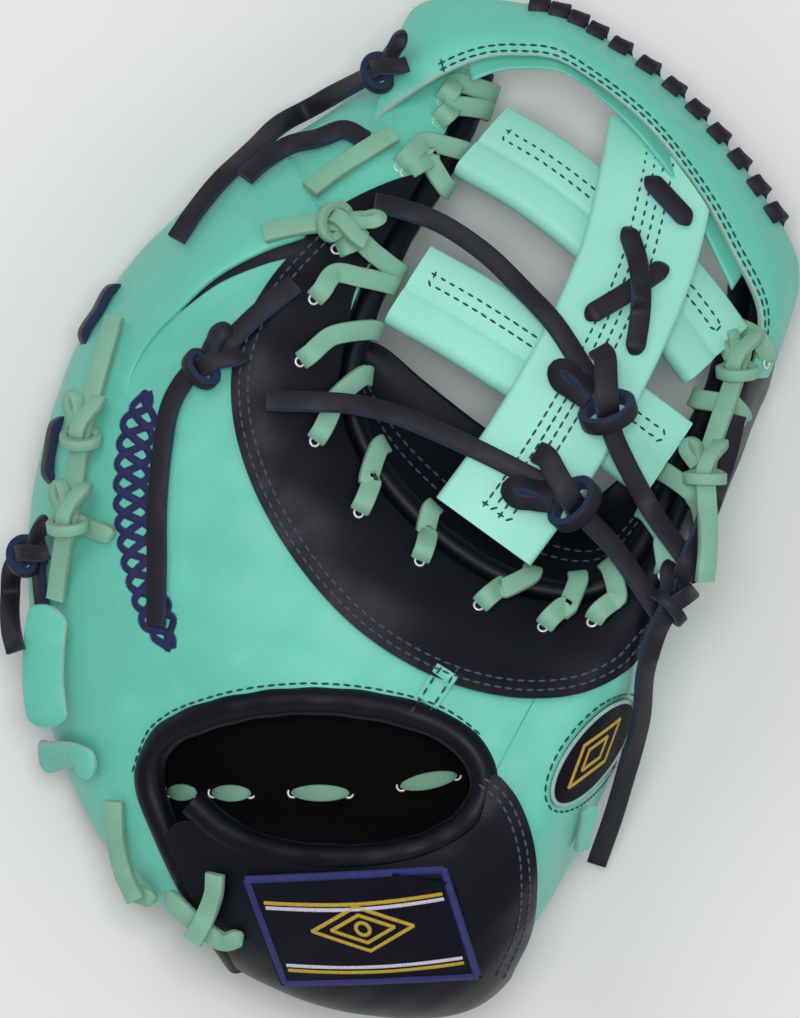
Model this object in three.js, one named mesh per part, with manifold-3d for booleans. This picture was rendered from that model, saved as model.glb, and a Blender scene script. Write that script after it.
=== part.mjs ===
// First baseman mitt, lying pocket down with the back of the hand up.
// Units are millimetres and +Z is up. The origin is on the surface that the mitt rests on, under its middle.
// +X points to the thumb side and +Y from the heel to the web's top edge.
import * as THREE from "three";
import { mergeVertices } from "three/addons/utils/BufferGeometryUtils.js";
import Module from "manifold-3d";

const wasm = await Module();
wasm.setup();

// Driving sizes of the whole mitt.
const mittWidth = 256; // finger side to thumb side
const mittLength = 326; // web edge to heel
const backHeight = 100; // resting surface to the back, behind the crotch

// Leather, padding and binding.
const backThickness = 3;
const palmEdgeThickness = 4;
const palmPadding = 8; // added in the middle of the palm
const innerEdgeThickness = 10; // back face to pocket face along the crotch
const overlayThickness = 1.8;
const liningThickness = 1.6;
const strapThickness = 2.8;
const labelThickness = 1.2;
const wristRollRadius = 4.6;
const crotchRollRadius = 4;
const tabThickness = 2.6;
const pinkieTabWidth = 15;
const pinkieLoopWidth = 11;
const thumbTabWidth = 6;
const clearance = 0.4; // between two layers of leather

// Web.
const postWidth = 37;
const postThickness = 5;
const barWidth = 29;
const barThickness = 3;
const barRollWidth = 13;
const barRollThickness = 8;
const flapThickness = 3;
const flapBulge = 5;
const foldThickness = 3.2;

// Lace.
const laceWidth = 6.4;
const laceThickness = 2.6;
const laceSlack = 1.6; // how far a whip stands off the leather
const laceHoleGap = 0.7; // all round a lace in its hole
const crotchHoleInset = 11; // crotch edge to the lace holes
const crotchLoops = 17;
const webLoops = 11;
const rimStitches = 5;

// Colours and finishes.
const leather = (color, roughness) => new THREE.MeshStandardMaterial({ color, roughness, metalness: 0 });
const mint = leather(0x74d1ba, 0.55);
const navy = leather(0x1b1d28, 0.5);
const darkLining = leather(0x121216, 0.8);
const mintLace = leather(0x82c9a6, 0.75);
const navyLace = leather(0x23242f, 0.65);
const cloth = leather(0x15152c, 0.85);

// A place is given in percent: across the mitt from its finger side, down it from the web edge,
// and up from the surface that it rests on.
const UP = new THREE.Vector3(0, 0, 1);

function place(across, down, up = 0) {
  return new THREE.Vector3(
    (across / 100 - 0.5) * mittWidth,
    (0.5 - down / 100) * mittLength,
    (up / 100) * backHeight,
  );
}

const places = (rows) => rows.map((row) => place(...row));
const named = (columns, row) => Object.fromEntries(columns.map((name, i) => [name, row[i]]));
const table = (columns, rows) => rows.map((row) => named(columns, row));

// Cross-sections of the shell, from the finger tip round the heel to the thumb tip.
// inner is the crotch edge. back and palm are the edges of the two leathers at the rim.
// crown and shoulder are the rise of the back's curve near the crotch and near the rim,
// and reach is where the shoulder stands, as a share of the way to the rim.
const sections = table(["inner", "back", "palm", "crown", "shoulder", "reach"], [
  [[58.8, 6.5, 36], [50.0, 4.5, 14], [50.6, 5.0, 6], 6, 14, 1.03],
  [[56.5, 11.6, 46], [42.0, 10.0, 11], [42.7, 10.7, 1.5], 12, 34, 1.03],
  [[52.5, 17.5, 60], [30.8, 15.5, 10], [31.7, 16.2, -1], 16, 48, 1.03],
  [[47.3, 24.6, 72], [18.9, 23.2, 10], [20.0, 23.9, -1], 20, 56, 1.03],
  [[43.3, 32.4, 79], [11.0, 31.3, 12], [12.1, 31.7, 2.5], 23, 60, 1.03],
  [[42.3, 40.3, 83], [5.7, 41.1, 15], [6.8, 41.1, 6], 25, 60, 1.03],
  [[46.0, 47.0, 85], [3.2, 51.1, 18], [4.3, 50.9, 9], 26, 58, 1.03],
  [[52.3, 52.6, 86], [3.5, 61.9, 18], [4.6, 61.4, 9], 28, 54, 1.03],
  [[58.5, 56.3, 86], [7.2, 74.6, 19], [8.3, 73.8, 7.5], 32, 54, 1.03],
  [[63.8, 58.4, 86], [15.4, 85.9, 28], [16.2, 84.5, 4], 36, 54, 1.03],
  [[68.1, 59.3, 86], [28.2, 93.5, 44], [26.9, 90.9, 1], 40, 48, 1.03],
  [[71.9, 59.5, 86], [42.5, 98.2, 54], [41.3, 94.5, -1], 40, 44, 1.03],
  [[75.4, 58.9, 86], [58.8, 98.2, 50], [56.3, 95.1, -1], 36, 44, 1],
  [[78.8, 57.2, 85], [68.2, 89.6, 30], [67.3, 87.4, 2], 30, 46, 0.97],
  [[81.9, 53.8, 82], [75.7, 78.1, 16], [74.8, 77.0, 4], 24, 46, 0.93],
  [[84.8, 49.3, 78], [81.3, 64.8, 12], [80.3, 64.2, 2], 20, 42, 0.93],
  [[88.1, 43.9, 70], [86.8, 55.0, 10], [85.8, 54.5, -1], 14, 36, 0.96],
  [[91.6, 37.8, 60], [92.6, 44.7, 10], [91.6, 44.3, -1], 10, 28, 1],
  [[94.0, 31.2, 48], [96.1, 36.5, 11], [95.2, 36.0, 1.5], 7, 20, 1.03],
  [[94.8, 25.7, 36], [98.3, 28.0, 14], [97.4, 28.0, 6], 4, 12, 1.03],
]);
const seam = 0.59; // where the finger and thumb leathers meet, as a share of the way round
const crownReach = 0.42; // where the back's first handle stands, as a share of the way to the rim
const palmHandles = [0.4, 0.86];
const pocketDip = 5; // percent of the height
const pocketRise = 36;

// The finger side's outer band puffs up over the inner panel along this fold.
const foldLine = places([[42.5, 21.8], [36, 24.6], [29.5, 29.2], [23.5, 34.5], [19, 39.8], [16, 45.5]]);
const puffHeight = 5.5;
const puffReach = 16; // how far the puff runs back from the fold

// Smooth interpolation between rows of a table.
function spline(a, b, c, d, u) {
  return 0.5 * (2 * b + (c - a) * u + (2 * a - 5 * b + 4 * c - d) * u * u + (3 * b - a - 3 * c + d) * u ** 3);
}

function reader(rows, t) {
  const last = rows.length - 1;
  const along = t * last;
  const i = Math.min(Math.max(Math.floor(along), 0), last - 1);
  const near = [i - 1, i, i + 1, i + 2].map((k) => rows[Math.min(Math.max(k, 0), last)]);
  const value = (pick) => spline(...near.map(pick), along - i);
  const point = (name) => place(...[0, 1, 2].map((k) => value((row) => row[name][k])));
  return { value, point };
}

function between(from, to, share, up) {
  const at = from.clone().lerp(to, share);
  return at.setZ(up);
}

function backCurve(t) {
  const row = reader(sections, t);
  const from = row.point("inner");
  const to = row.point("back");
  const crown = (row.value((r) => r.crown) / 100) * backHeight;
  const shoulder = (row.value((r) => r.shoulder) / 100) * backHeight;
  return new THREE.CubicBezierCurve3(
    from,
    between(from, to, crownReach, from.z + crown),
    between(from, to, row.value((r) => r.reach), to.z + shoulder),
    to,
  );
}

function palmCurve(t) {
  const row = reader(sections, t);
  const from = row.point("inner");
  from.z -= innerEdgeThickness;
  const to = row.point("palm");
  const dip = (pocketDip / 100) * backHeight;
  const rise = Math.min(pocketRise / 100 * backHeight, 0.5 * from.z);
  return new THREE.CubicBezierCurve3(
    from,
    between(from, to, palmHandles[0], from.z - dip),
    between(from, to, palmHandles[1], to.z + rise),
    to,
  );
}

function surface(point) {
  const step = 1e-3;
  const inside = (value) => Math.min(Math.max(value, step), 1 - step);
  const normal = (t, s) => {
    const [a, b] = [inside(t), inside(s)];
    const alongT = point(a + step, b).sub(point(a - step, b));
    const alongS = point(a, b + step).sub(point(a, b - step));
    return alongS.cross(alongT).normalize();
  };
  return { point, normal };
}

function surfaceOf(curveAt) {
  const curves = new Map();
  return surface((t, s) => {
    if (!curves.has(t)) curves.set(t, curveAt(t));
    return curves.get(t).getPoint(s);
  });
}

// How far the puffed band stands over the panel beside it.
function puff(at) {
  const last = foldLine.length - 1;
  let best = { distance: Infinity };
  for (let i = 0; i < last; i++) {
    const run = foldLine[i + 1].clone().sub(foldLine[i]).setZ(0);
    const off = at.clone().sub(foldLine[i]).setZ(0);
    const share = Math.min(Math.max(off.dot(run) / run.lengthSq(), 0), 1);
    const side = run.x * off.y - run.y * off.x;
    const distance = off.addScaledVector(run, -share).length();
    if (distance < best.distance) best = { distance, side, share: (i + share) / last };
  }
  const fade = Math.sin(Math.PI * Math.min(Math.max(1.15 - best.share, 0), 0.5));
  return best.side < 0 ? puffHeight * fade * Math.exp(-best.distance / puffReach) : 0;
}

const plainBack = surfaceOf(backCurve);
const palmFace = surfaceOf(palmCurve);
const edgeFade = (s) => Math.min(1, s * 5) * Math.min(1, (1 - s) * 5);
const backFace = {
  point: (t, s) => {
    const at = plainBack.point(t, s);
    return at.addScaledVector(plainBack.normal(t, s), puff(at) * edgeFade(s));
  },
  normal: plainBack.normal,
};

// Solids. A closed geometry becomes a solid that can be joined and cut, turned so that its faces point out.
function solidOf(geometry) {
  for (const name of ["normal", "uv"]) if (geometry.hasAttribute(name)) geometry.deleteAttribute(name);
  const merged = mergeVertices(geometry, 1e-4);
  const vertProperties = Float32Array.from(merged.attributes.position.array);
  const make = (list) => new wasm.Manifold(
    new wasm.Mesh({ numProp: 3, vertProperties, triVerts: Uint32Array.from(list) }),
  );
  const index = Array.from(merged.index.array);
  const made = make(index);
  return made.volume() > 0 ? made : make(index.reverse());
}

function geometryOf(solid) {
  const mesh = solid.getMesh();
  const geometry = new THREE.BufferGeometry();
  geometry.setAttribute("position", new THREE.BufferAttribute(mesh.vertProperties, 3));
  geometry.setIndex(new THREE.BufferAttribute(mesh.triVerts, 1));
  geometry.computeVertexNormals();
  return geometry;
}

// A curved layer between two faces, each a point for a row and a column.
// All layers of the shell share one grid.
function layer(rows, columns, faces) {
  const positions = [];
  for (const face of faces)
    for (const t of rows) for (const s of columns) positions.push(...face(t, s).toArray());
  const across = columns.length;
  const at = (k, i, j) => (k * rows.length + i) * across + j;
  const triangles = [];
  const quad = (a, b, c, d) => triangles.push(a, b, c, a, c, d);
  const [lastRow, lastColumn] = [rows.length - 1, across - 1];
  for (let i = 0; i < lastRow; i++) {
    for (let j = 0; j < lastColumn; j++) {
      quad(at(0, i, j), at(0, i + 1, j), at(0, i + 1, j + 1), at(0, i, j + 1));
      quad(at(1, i, j), at(1, i, j + 1), at(1, i + 1, j + 1), at(1, i + 1, j));
    }
    quad(at(0, i, 0), at(1, i, 0), at(1, i + 1, 0), at(0, i + 1, 0));
    quad(at(0, i, lastColumn), at(0, i + 1, lastColumn), at(1, i + 1, lastColumn), at(1, i, lastColumn));
  }
  for (let j = 0; j < lastColumn; j++) {
    quad(at(0, 0, j), at(0, 0, j + 1), at(1, 0, j + 1), at(1, 0, j));
    quad(at(0, lastRow, j), at(1, lastRow, j), at(1, lastRow, j + 1), at(0, lastRow, j + 1));
  }
  const geometry = new THREE.BufferGeometry();
  geometry.setAttribute("position", new THREE.Float32BufferAttribute(positions, 3));
  geometry.setIndex(triangles);
  return solidOf(geometry);
}

const gridRows = 21;
const gridColumns = 5;
const steps = (from, to, count) => {
  const inner = Array.from({ length: count + 1 }, (_, i) => i / count).filter((v) => v > from && v < to);
  return [from, ...inner, to];
};
const offset = (face, lift) => (t, s) => face.point(t, s).addScaledVector(face.normal(t, s), lift);

function skin(low, high, t = [0, 1], s = [0, 1]) {
  const faces = [offset(backFace, high), offset(backFace, low)];
  return layer(steps(...t, gridRows), steps(...s, gridColumns), faces);
}

function prism(outline, low = -1, high = 2 * backHeight) {
  const shape = new THREE.Shape(outline.map((p) => new THREE.Vector2(p.x, p.y)));
  const geometry = new THREE.ExtrudeGeometry(shape, { depth: high - low, bevelEnabled: false });
  return solidOf(geometry.translate(0, 0, low));
}

function directions(points) {
  const last = points.length - 1;
  return points.map((_, i) => (
    points[Math.min(i + 1, last)].clone().sub(points[Math.max(i - 1, 0)]).normalize()
  ));
}

// A path whose section stands at each of its points and keeps facing away from what it lies on.
class LaidPath extends THREE.CatmullRomCurve3 {
  constructor({ points, ups, tangents }) {
    super(points, false, "centripetal");
    this.ups = ups;
    this.tangents = tangents ?? directions(points);
  }

  getSpacedPoints() {
    return this.points;
  }

  computeFrenetFrames() {
    const { tangents } = this;
    const normals = tangents.map((tangent, i) => tangent.clone().cross(this.ups[i]).normalize());
    const binormals = tangents.map((tangent, i) => normals[i].clone().cross(tangent).normalize());
    return { tangents, normals, binormals };
  }
}

function sweep(route, section) {
  const extrudePath = new LaidPath({ ...route, ups: route.ups ?? route.points.map(() => UP) });
  const shape = new THREE.Shape(section);
  return solidOf(new THREE.ExtrudeGeometry(shape, { steps: route.points.length - 1, extrudePath }));
}

function roundSection(radius, sides = 8) {
  const corner = (_, k) => {
    const turn = (2 * Math.PI * (k + 0.5)) / sides;
    return new THREE.Vector2(radius * Math.cos(turn), radius * Math.sin(turn));
  };
  return Array.from({ length: sides }, corner);
}

function flatSection(width, thickness, corner = 0) {
  const [w, h] = [width / 2, thickness / 2];
  const rows = corner
    ? [[w, -h + corner], [w, h - corner], [w - corner, h], [corner - w, h],
      [-w, h - corner], [-w, corner - h], [corner - w, -h], [w - corner, -h]]
    : [[w, -h], [w, h], [-w, h], [-w, -h]];
  return rows.map(([x, y]) => new THREE.Vector2(x, y));
}

function smooth(points, count) {
  return new THREE.CatmullRomCurve3(points, false, "centripetal").getSpacedPoints(count);
}

const largest = (solid) => solid.decompose().sort((a, b) => b.volume() - a.volume())[0];

// What lies under a place: the highest leather there, or the surface that the mitt rests on.
const caster = new THREE.Raycaster();
const bothSides = new THREE.MeshBasicMaterial({ side: THREE.DoubleSide });

function ground(solids) {
  const meshes = solids.map((solid) => new THREE.Mesh(geometryOf(solid), bothSides));
  return (x, y) => {
    caster.set(new THREE.Vector3(x, y, 2 * backHeight), UP.clone().negate());
    const [hit] = caster.intersectObjects(meshes);
    return hit ? { up: hit.point.z, normal: hit.face.normal } : { up: 0, normal: UP };
  };
}

// The back's two leathers, and the opening for the hand's back, which the strap closes toward the heel.
const seamGap = 0.0012; // share of the way round
const openingOutline = places([
  [28.5, 97], [23.8, 88.4], [19.8, 81.8], [17.8, 76], [20, 71.6], [27.2, 69], [37.5, 67.8], [47.8, 68.4],
  [55.4, 70.2], [60.2, 73], [62.4, 76.6], [64.5, 81], [64.8, 86], [63.5, 92], [60.5, 102], [31, 102],
]);
const bindingLine = places([
  [29.8, 94.6], [24.8, 88], [20.8, 81.5], [18.8, 76], [20.8, 72.3], [27.5, 69.8], [37.5, 68.6], [47.5, 69.2],
  [54.8, 70.9], [59, 73.4], [60.4, 76.4], [59, 79.6], [55, 82], [48.8, 83.5], [41.3, 83.9], [33.8, 83.2],
  [28, 81.2], [24.2, 78.6],
]);
const strapOutline = places([
  [24.4, 79.2], [28, 81.9], [33.8, 83.9], [41.3, 84.7], [48.8, 84.3], [55, 82.8], [59.6, 80.2], [61.4, 75.6],
  [64, 77.4], [66.2, 81.4], [67, 86.2], [66.4, 91.4], [64, 96], [62, 102], [32, 102], [29.4, 95],
  [24.4, 87.8], [20.9, 81.9],
]);
const crescentOutline = places([
  [42.5, 20.4], [36.4, 25.2], [33.4, 28.2], [30.4, 32.6], [29.2, 36.6], [29.4, 41.4], [31.2, 46.6],
  [34.4, 51.8], [39.2, 57.2], [45, 61.8], [51.6, 65.2], [58.6, 67.4], [66, 68.3], [72.8, 67.7], [78.2, 65.6],
  [82, 62.6], [86, 62], [102, 48], [102, 20], [90, 20], [84, 44], [70, 56], [48, 46], [44, 30], [53, 17.4],
]);

const rawFinger = skin(-backThickness, 0, [0, seam]);
const rawThumb = skin(-backThickness, 0, [seam + seamGap, 1]);
const skinTop = ground([skin(-backThickness, 0)]);
const opening = prism(openingOutline);

const bindingSteps = 22;
const bindingPoints = smooth(bindingLine, bindingSteps).map((p) => {
  const under = skinTop(p.x, p.y).up || 0.45 * backHeight; // past the heel's edge
  return p.setZ(under - backThickness / 2);
});
const wristRoll = sweep({ points: bindingPoints }, roundSection(wristRollRadius, 6));
const wristRollCut = sweep(
  { points: bindingPoints },
  flatSection(2 * (wristRollRadius + clearance), 4 * wristRollRadius),
);

const overlayLow = clearance;
const overlayHigh = overlayLow + overlayThickness;
const strapLow = clearance;
const strapHigh = strapLow + strapThickness;

let fingerBack = rawFinger.subtract(opening).subtract(wristRollCut);
let thumbBack = rawThumb.subtract(opening).subtract(wristRollCut);
const crescentFlat = prism(crescentOutline);
let crescent = skin(overlayLow, overlayHigh, [0.1, 1]).intersect(crescentFlat);
let wristStrap = skin(strapLow, strapHigh, [0.36, 0.74], [0.25, 1])
  .intersect(prism(strapOutline)).subtract(wristRollCut);

// The patch on the strap and the badge behind the thumb.
const patchOutline = places([[30.4, 85.8], [55.9, 84.5], [60.2, 95.6], [35.2, 96.6]]);
const badgeCentre = place(74, 73.7);
const badgeLength = 34;
const badgeWidth = 19;
const badgeTurn = 55; // degrees from the mitt's width
const badgeOutline = new THREE.EllipseCurve(
  badgeCentre.x, badgeCentre.y, badgeLength / 2, badgeWidth / 2, 0, 2 * Math.PI, false,
  THREE.MathUtils.degToRad(badgeTurn),
).getPoints(20).slice(0, -1);

const patchLow = strapHigh + clearance;
const strapPatch = skin(patchLow, patchLow + labelThickness, [0.36, 0.74], [0.25, 1])
  .intersect(prism(patchOutline));
const badgeRows = [0.6, 0.95];
const badgeColumns = [0, 0.84];
const thumbBadge = skin(overlayLow, overlayLow + labelThickness, badgeRows, badgeColumns)
  .intersect(prism(badgeOutline));

// The palm is the pocket's leather, padding and inner leather as one padded piece. The lining lies on it.
const padAt = (s) => palmEdgeThickness + palmPadding * Math.sin(Math.PI * s) ** 1.5;

function padded(extra) {
  return (t, s) => {
    const from = palmFace.point(t, s);
    const toBack = offset(backFace, -backThickness - 3 * clearance)(t, s).sub(from);
    const room = toBack.length();
    return from.addScaledVector(toBack.normalize(), Math.min(padAt(s) + extra, 0.75 * room));
  };
}

const belowFloor = prism(places([[-20, -20], [120, -20], [120, 120], [-20, 120]]), -backHeight, 0);
let palm = layer(steps(0, 1, gridRows), steps(0, 1, gridColumns), [padded(0), palmFace.point])
  .subtract(belowFloor);
let lining = layer(
  steps(0.36, 0.72, gridRows),
  steps(0.2, 0.9, gridColumns),
  [padded(clearance + liningThickness), padded(clearance)],
);

// The crotch's roll follows the crotch edge on its open side.
const edgeCurve = new THREE.CatmullRomCurve3(
  Array.from({ length: 61 }, (_, i) => plainBack.point(i / 60, 0)), false, "centripetal",
);
edgeCurve.arcLengthDivisions = 600;

function edgeAt(share) {
  const t = edgeCurve.getUtoTmapping(share);
  const along = edgeCurve.getTangentAt(share).setZ(0).normalize();
  const open = new THREE.Vector3(-along.y, along.x, 0);
  return { t, at: edgeCurve.getPointAt(share), open };
}

const crotchRollSteps = 28;
const crotchRollPoints = Array.from({ length: crotchRollSteps + 1 }, (_, i) => {
  const { at, open } = edgeAt(i / crotchRollSteps);
  at.z -= innerEdgeThickness / 2;
  return at.addScaledVector(open, crotchRollRadius + clearance);
});
let crotchRoll = sweep({ points: crotchRollPoints }, roundSection(crotchRollRadius, 6));

// Web: a post over two bars, under a flap along the top edge, with a folded layer below the flap.
// tilt is how far the web leans toward its top edge where the bar crosses it, in degrees.
const upperBarTable = {
  tilt: 24,
  line: places([[60.2, 13.6, 50], [68, 17.4, 60], [77.5, 23.6, 67], [85, 30, 66], [89.6, 34.8, 61]]),
};
const lowerBarTable = {
  tilt: 10,
  line: places([[51, 28, 72], [58.5, 31.4, 78], [68.5, 36.6, 82], [77, 41.6, 81], [83.2, 45.2, 76]]),
};
const postShares = [
  { at: [60.3, 52.2], over: 0, up: 89 },
  { at: [66, 46], over: 0, up: 88.5 },
  { at: [71.8, 38.6], over: 1, up: 82.3 },
  { at: [75.8, 32.6], over: 0, up: 81 },
  { at: [79.6, 25.4], over: 1, up: 68 },
  { at: [82, 17.8], over: 0, up: 62 },
  { at: [83.2, 12.6], over: 0, up: 50 },
];
const barSteps = 7;

// up is the bar's own place where the post lies over a bar.
const postSeat = (barThickness + postThickness) / 2 + clearance;
const postLine = postShares.map((row) => {
  const at = place(...row.at, row.up);
  return at.setZ(at.z + row.over * postSeat);
});

// Raises what is made until it is clear of what it lies on.
function settled(make, against) {
  const step = 0.3;
  for (let lift = step; lift < backHeight / 8; lift += step) {
    const pieces = make(lift);
    if (pieces.every((piece) => against.every((other) => piece.intersect(other).isEmpty()))) return pieces;
  }
  throw new Error("a piece finds no seat");
}

function strip(line, { width, thickness, tilt = 0, aside = 0, lift = 0 }) {
  const points = smooth(line, barSteps);
  const lean = THREE.MathUtils.degToRad(tilt);
  const route = { points: [], ups: [] };
  const ways = directions(points);
  points.forEach((p, i) => {
    const along = ways[i];
    const up = UP.clone().applyAxisAngle(along, -lean);
    const side = along.clone().cross(up).normalize();
    route.points.push(p.clone().addScaledVector(side, aside).addScaledVector(up, lift));
    route.ups.push(up);
  });
  return sweep(route, flatSection(width, thickness));
}

function bar({ line, tilt }, grow = 0) {
  const flat = strip(line, { width: barWidth + 2 * grow, thickness: barThickness + 2 * grow, tilt });
  const roll = strip(line, {
    width: barRollWidth + 2 * grow,
    thickness: barRollThickness + 2 * grow,
    tilt,
    aside: (barWidth - barRollWidth) / 2,
    lift: (barThickness - barRollThickness) / 2,
  });
  return flat.add(roll);
}

let upperBar = bar(upperBarTable);
let lowerBar = bar(lowerBarTable);
let [post] = settled((lift) => {
  const line = postLine.map((p) => p.clone().addScaledVector(UP, lift));
  return [strip(line, { width: postWidth, thickness: postThickness })];
}, [upperBar, lowerBar]);

// The flap's two edges, from the finger side to the thumb side.
const flapSections = [
  { outer: [50.6, 4.8, 28], inner: [46.4, 12.6, 49] },
  { outer: [51.6, 2, 28], inner: [50, 10.2, 50] },
  { outer: [53.6, 0.4, 30], inner: [55.5, 7.4, 50] },
  { outer: [58.6, 0.2, 33], inner: [60.5, 5.8, 51] },
  { outer: [64, 0.6, 36], inner: [65.2, 5.5, 53] },
  { outer: [69.5, 1.6, 39], inner: [70.2, 6.1, 56] },
  { outer: [74.8, 4, 41], inner: [75.6, 9, 60] },
  { outer: [82.6, 8.4, 42], inner: [81.4, 13.2, 62] },
  { outer: [89.2, 13.6, 41], inner: [87, 19, 61] },
  { outer: [95, 19.6, 38], inner: [91.2, 24.8, 58] },
  { outer: [99.2, 26, 34], inner: [94.4, 30.2, 57] },
  { outer: [97.4, 32.6, 37], inner: [94.2, 34.4, 57] },
  { outer: [94.6, 37.6, 47], inner: [92.9, 37.8, 58] },
];
const foldPast = 0.26; // how far the folded layer stands past the flap's inner edge, as a share of its width
const flapFace = surface((t, s) => {
  const row = reader(flapSections, t);
  const at = row.point("inner").lerp(row.point("outer"), s);
  return at.setZ(at.z + flapBulge * Math.sin(Math.PI * Math.min(Math.max(s, 0), 1)));
});
const flapRows = 14;
const flapColumns = [0, 0.35, 0.7, 1];
const flapUp = flapFace.normal(0.5, 0.5).z > 0 ? 1 : -1;
const flapOffset = (lift) => offset(flapFace, lift * flapUp);
const flapEnds = [0.02, 0.98];
const foldEnds = [3 / flapRows, 11 / flapRows];
let flap = layer(steps(...flapEnds, flapRows), flapColumns, [flapOffset(flapThickness), flapOffset(0)]);
const fold = layer(steps(...foldEnds, flapRows), [-foldPast, 0, 0.35, 0.7], [
  flapOffset(-clearance), flapOffset(-clearance - foldThickness),
]);
const flapCut = layer([-0.02, ...steps(...flapEnds, flapRows), 1.02], [-0.14, ...flapColumns, 1.04], [
  flapOffset(flapThickness + 2 * clearance), flapOffset(-2 * clearance),
]);
const foldCut = layer(
  steps(foldEnds[0] - 0.02, foldEnds[1] + 0.02, flapRows),
  [-foldPast - 0.04, 0, 0.35, 0.7, 0.74],
  [flapOffset(0), flapOffset(-2 * clearance - foldThickness)],
);

// Routes of the laces that whip over an edge. Each point of a route has the way that the lace's back faces.
const halfLace = laceThickness / 2;
const laceSection = flatSection(laceWidth, laceThickness);
const laceCut = flatSection(laceWidth + 2 * laceHoleGap, laceThickness + 2 * laceHoleGap);
const laceHole = flatSection(laceWidth + 6 * laceHoleGap, laceThickness + 8 * laceHoleGap);
const facing = (a, b) => a.clone().add(b).normalize();

// A route's holes are straight: each runs between two of its points, and its back faces one way.
function whipped(build) {
  const route = { points: [], ups: [] };
  const holes = [];
  const push = (point, up) => {
    route.points.push(point);
    route.ups.push(up.clone().normalize());
  };
  const pierce = (from, to, up) => holes.push(sweep({ points: [from, to], ups: [up, up] }, laceHole));
  build(push, pierce);
  const cut = holes.reduce((all, hole) => all.add(hole));
  return { solid: sweep(route, laceSection), sleeve: sweep(route, laceCut), cut };
}

// The share of the way to the rim that lies a distance in from the crotch edge.
function shareIn(t, distance) {
  const edge = plainBack.point(t, 0);
  let share = 0;
  while (share < 0.5 && plainBack.point(t, share).distanceTo(edge) < distance) share += 0.002;
  return share;
}

const crotchEnds = [0.05, 0.92]; // shares of the crotch edge's length
const crotchLace = whipped((push, pierce) => {
  const at = (k) => edgeAt(crotchEnds[0] + ((crotchEnds[1] - crotchEnds[0]) * k) / crotchLoops);
  const down = UP.clone().negate();
  const seat = halfLace + laceSlack;
  const roll = crotchRollRadius + seat + 1;
  for (let k = 0; k < crotchLoops; k++) {
    const hole = at(k);
    const s = shareIn(hole.t, crotchHoleInset);
    const back = hole.open.clone().negate();
    const pocket = palmFace.point(hole.t, s).addScaledVector(down, seat + 3.8);
    const top = backFace.point(hole.t, s).addScaledVector(backFace.normal(hole.t, s), overlayHigh + seat);
    push(pocket, facing(back, down));
    push(top, facing(back, UP));
    pierce(pocket, top, back);
    const edge = at(k + 0.1);
    push(edge.at.addScaledVector(UP, overlayHigh + seat + 2.4), UP);
    // Round the roll, from its top to its underside.
    for (const [turn, share] of [[32, 0.27], [-38, 0.5]]) {
      const round = at(k + share);
      const away = round.open.clone().multiplyScalar(Math.cos(THREE.MathUtils.degToRad(turn)));
      away.addScaledVector(UP, Math.sin(THREE.MathUtils.degToRad(turn)));
      const centre = round.at.addScaledVector(round.open, crotchRollRadius + clearance);
      centre.z -= innerEdgeThickness / 2;
      push(centre.addScaledVector(away, roll), away);
    }
    const under = at(k + 0.85);
    push(under.at.addScaledVector(down, innerEdgeThickness + seat + 3.8), down);
  }
});

const webEnds = [0.38, 0.8]; // shares of the flap's length
const webHole = 0.84; // share of the flap's width
const webLace = whipped((push, pierce) => {
  for (let k = 0; k < webLoops; k++) {
    const share = (n) => webEnds[0] + ((webEnds[1] - webEnds[0]) * n) / webLoops;
    const [t, half, next] = [share(k), share(k + 0.35), share(k + 0.65)];
    const up = flapFace.normal(t, webHole).multiplyScalar(flapUp);
    const out = flapFace.point(t, 1).sub(flapFace.point(t, webHole)).normalize();
    const [back, down] = [out.clone().negate(), up.clone().negate()];
    const seat = halfLace + laceSlack;
    const on = (at, s, lift, beyond = 0) => (
      flapFace.point(at, s).addScaledVector(up, lift).addScaledVector(out, beyond)
    );
    const [under, top] = [on(t, webHole, -seat - 0.6), on(t, webHole, flapThickness + seat + 1.4)];
    push(under, facing(back, down));
    push(top, facing(back, up));
    pierce(under, top, back);
    push(on(share(k + 0.2), 1, flapThickness + seat + 1.8), facing(up, out));
    push(on(half, 1, flapThickness / 2, seat), out);
    push(on(share(k + 0.5), 1, -seat - 1.2), facing(down, out));
    push(on(next, webHole, -seat - 0.6), down);
  }
});

// The rim lace is a running stitch through the back, near the rim.
const rimEnds = [0.19, 0.37];
const rimHole = 0.8;
const rimLace = whipped((push, pierce) => {
  const share = (n) => rimEnds[0] + ((rimEnds[1] - rimEnds[0]) * n) / rimStitches;
  const seat = halfLace + laceSlack;
  const on = (n, outside) => {
    const lift = outside ? seat : -backThickness - seat;
    return offset(backFace, lift)(share(n), rimHole);
  };
  for (let k = 0; k < rimStitches; k++) {
    const outside = k % 2 === 0;
    for (const part of [0.06, 0.5, 0.94]) {
      const up = backFace.normal(share(k + part), rimHole);
      push(on(k + part, outside), outside ? up : up.negate());
    }
    if (k + 1 === rimStitches) continue;
    const [from, to] = [on(k + 0.94, outside), on(k + 1.06, !outside)];
    pierce(from, to, to.clone().sub(from).cross(UP).normalize());
  }
});

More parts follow.
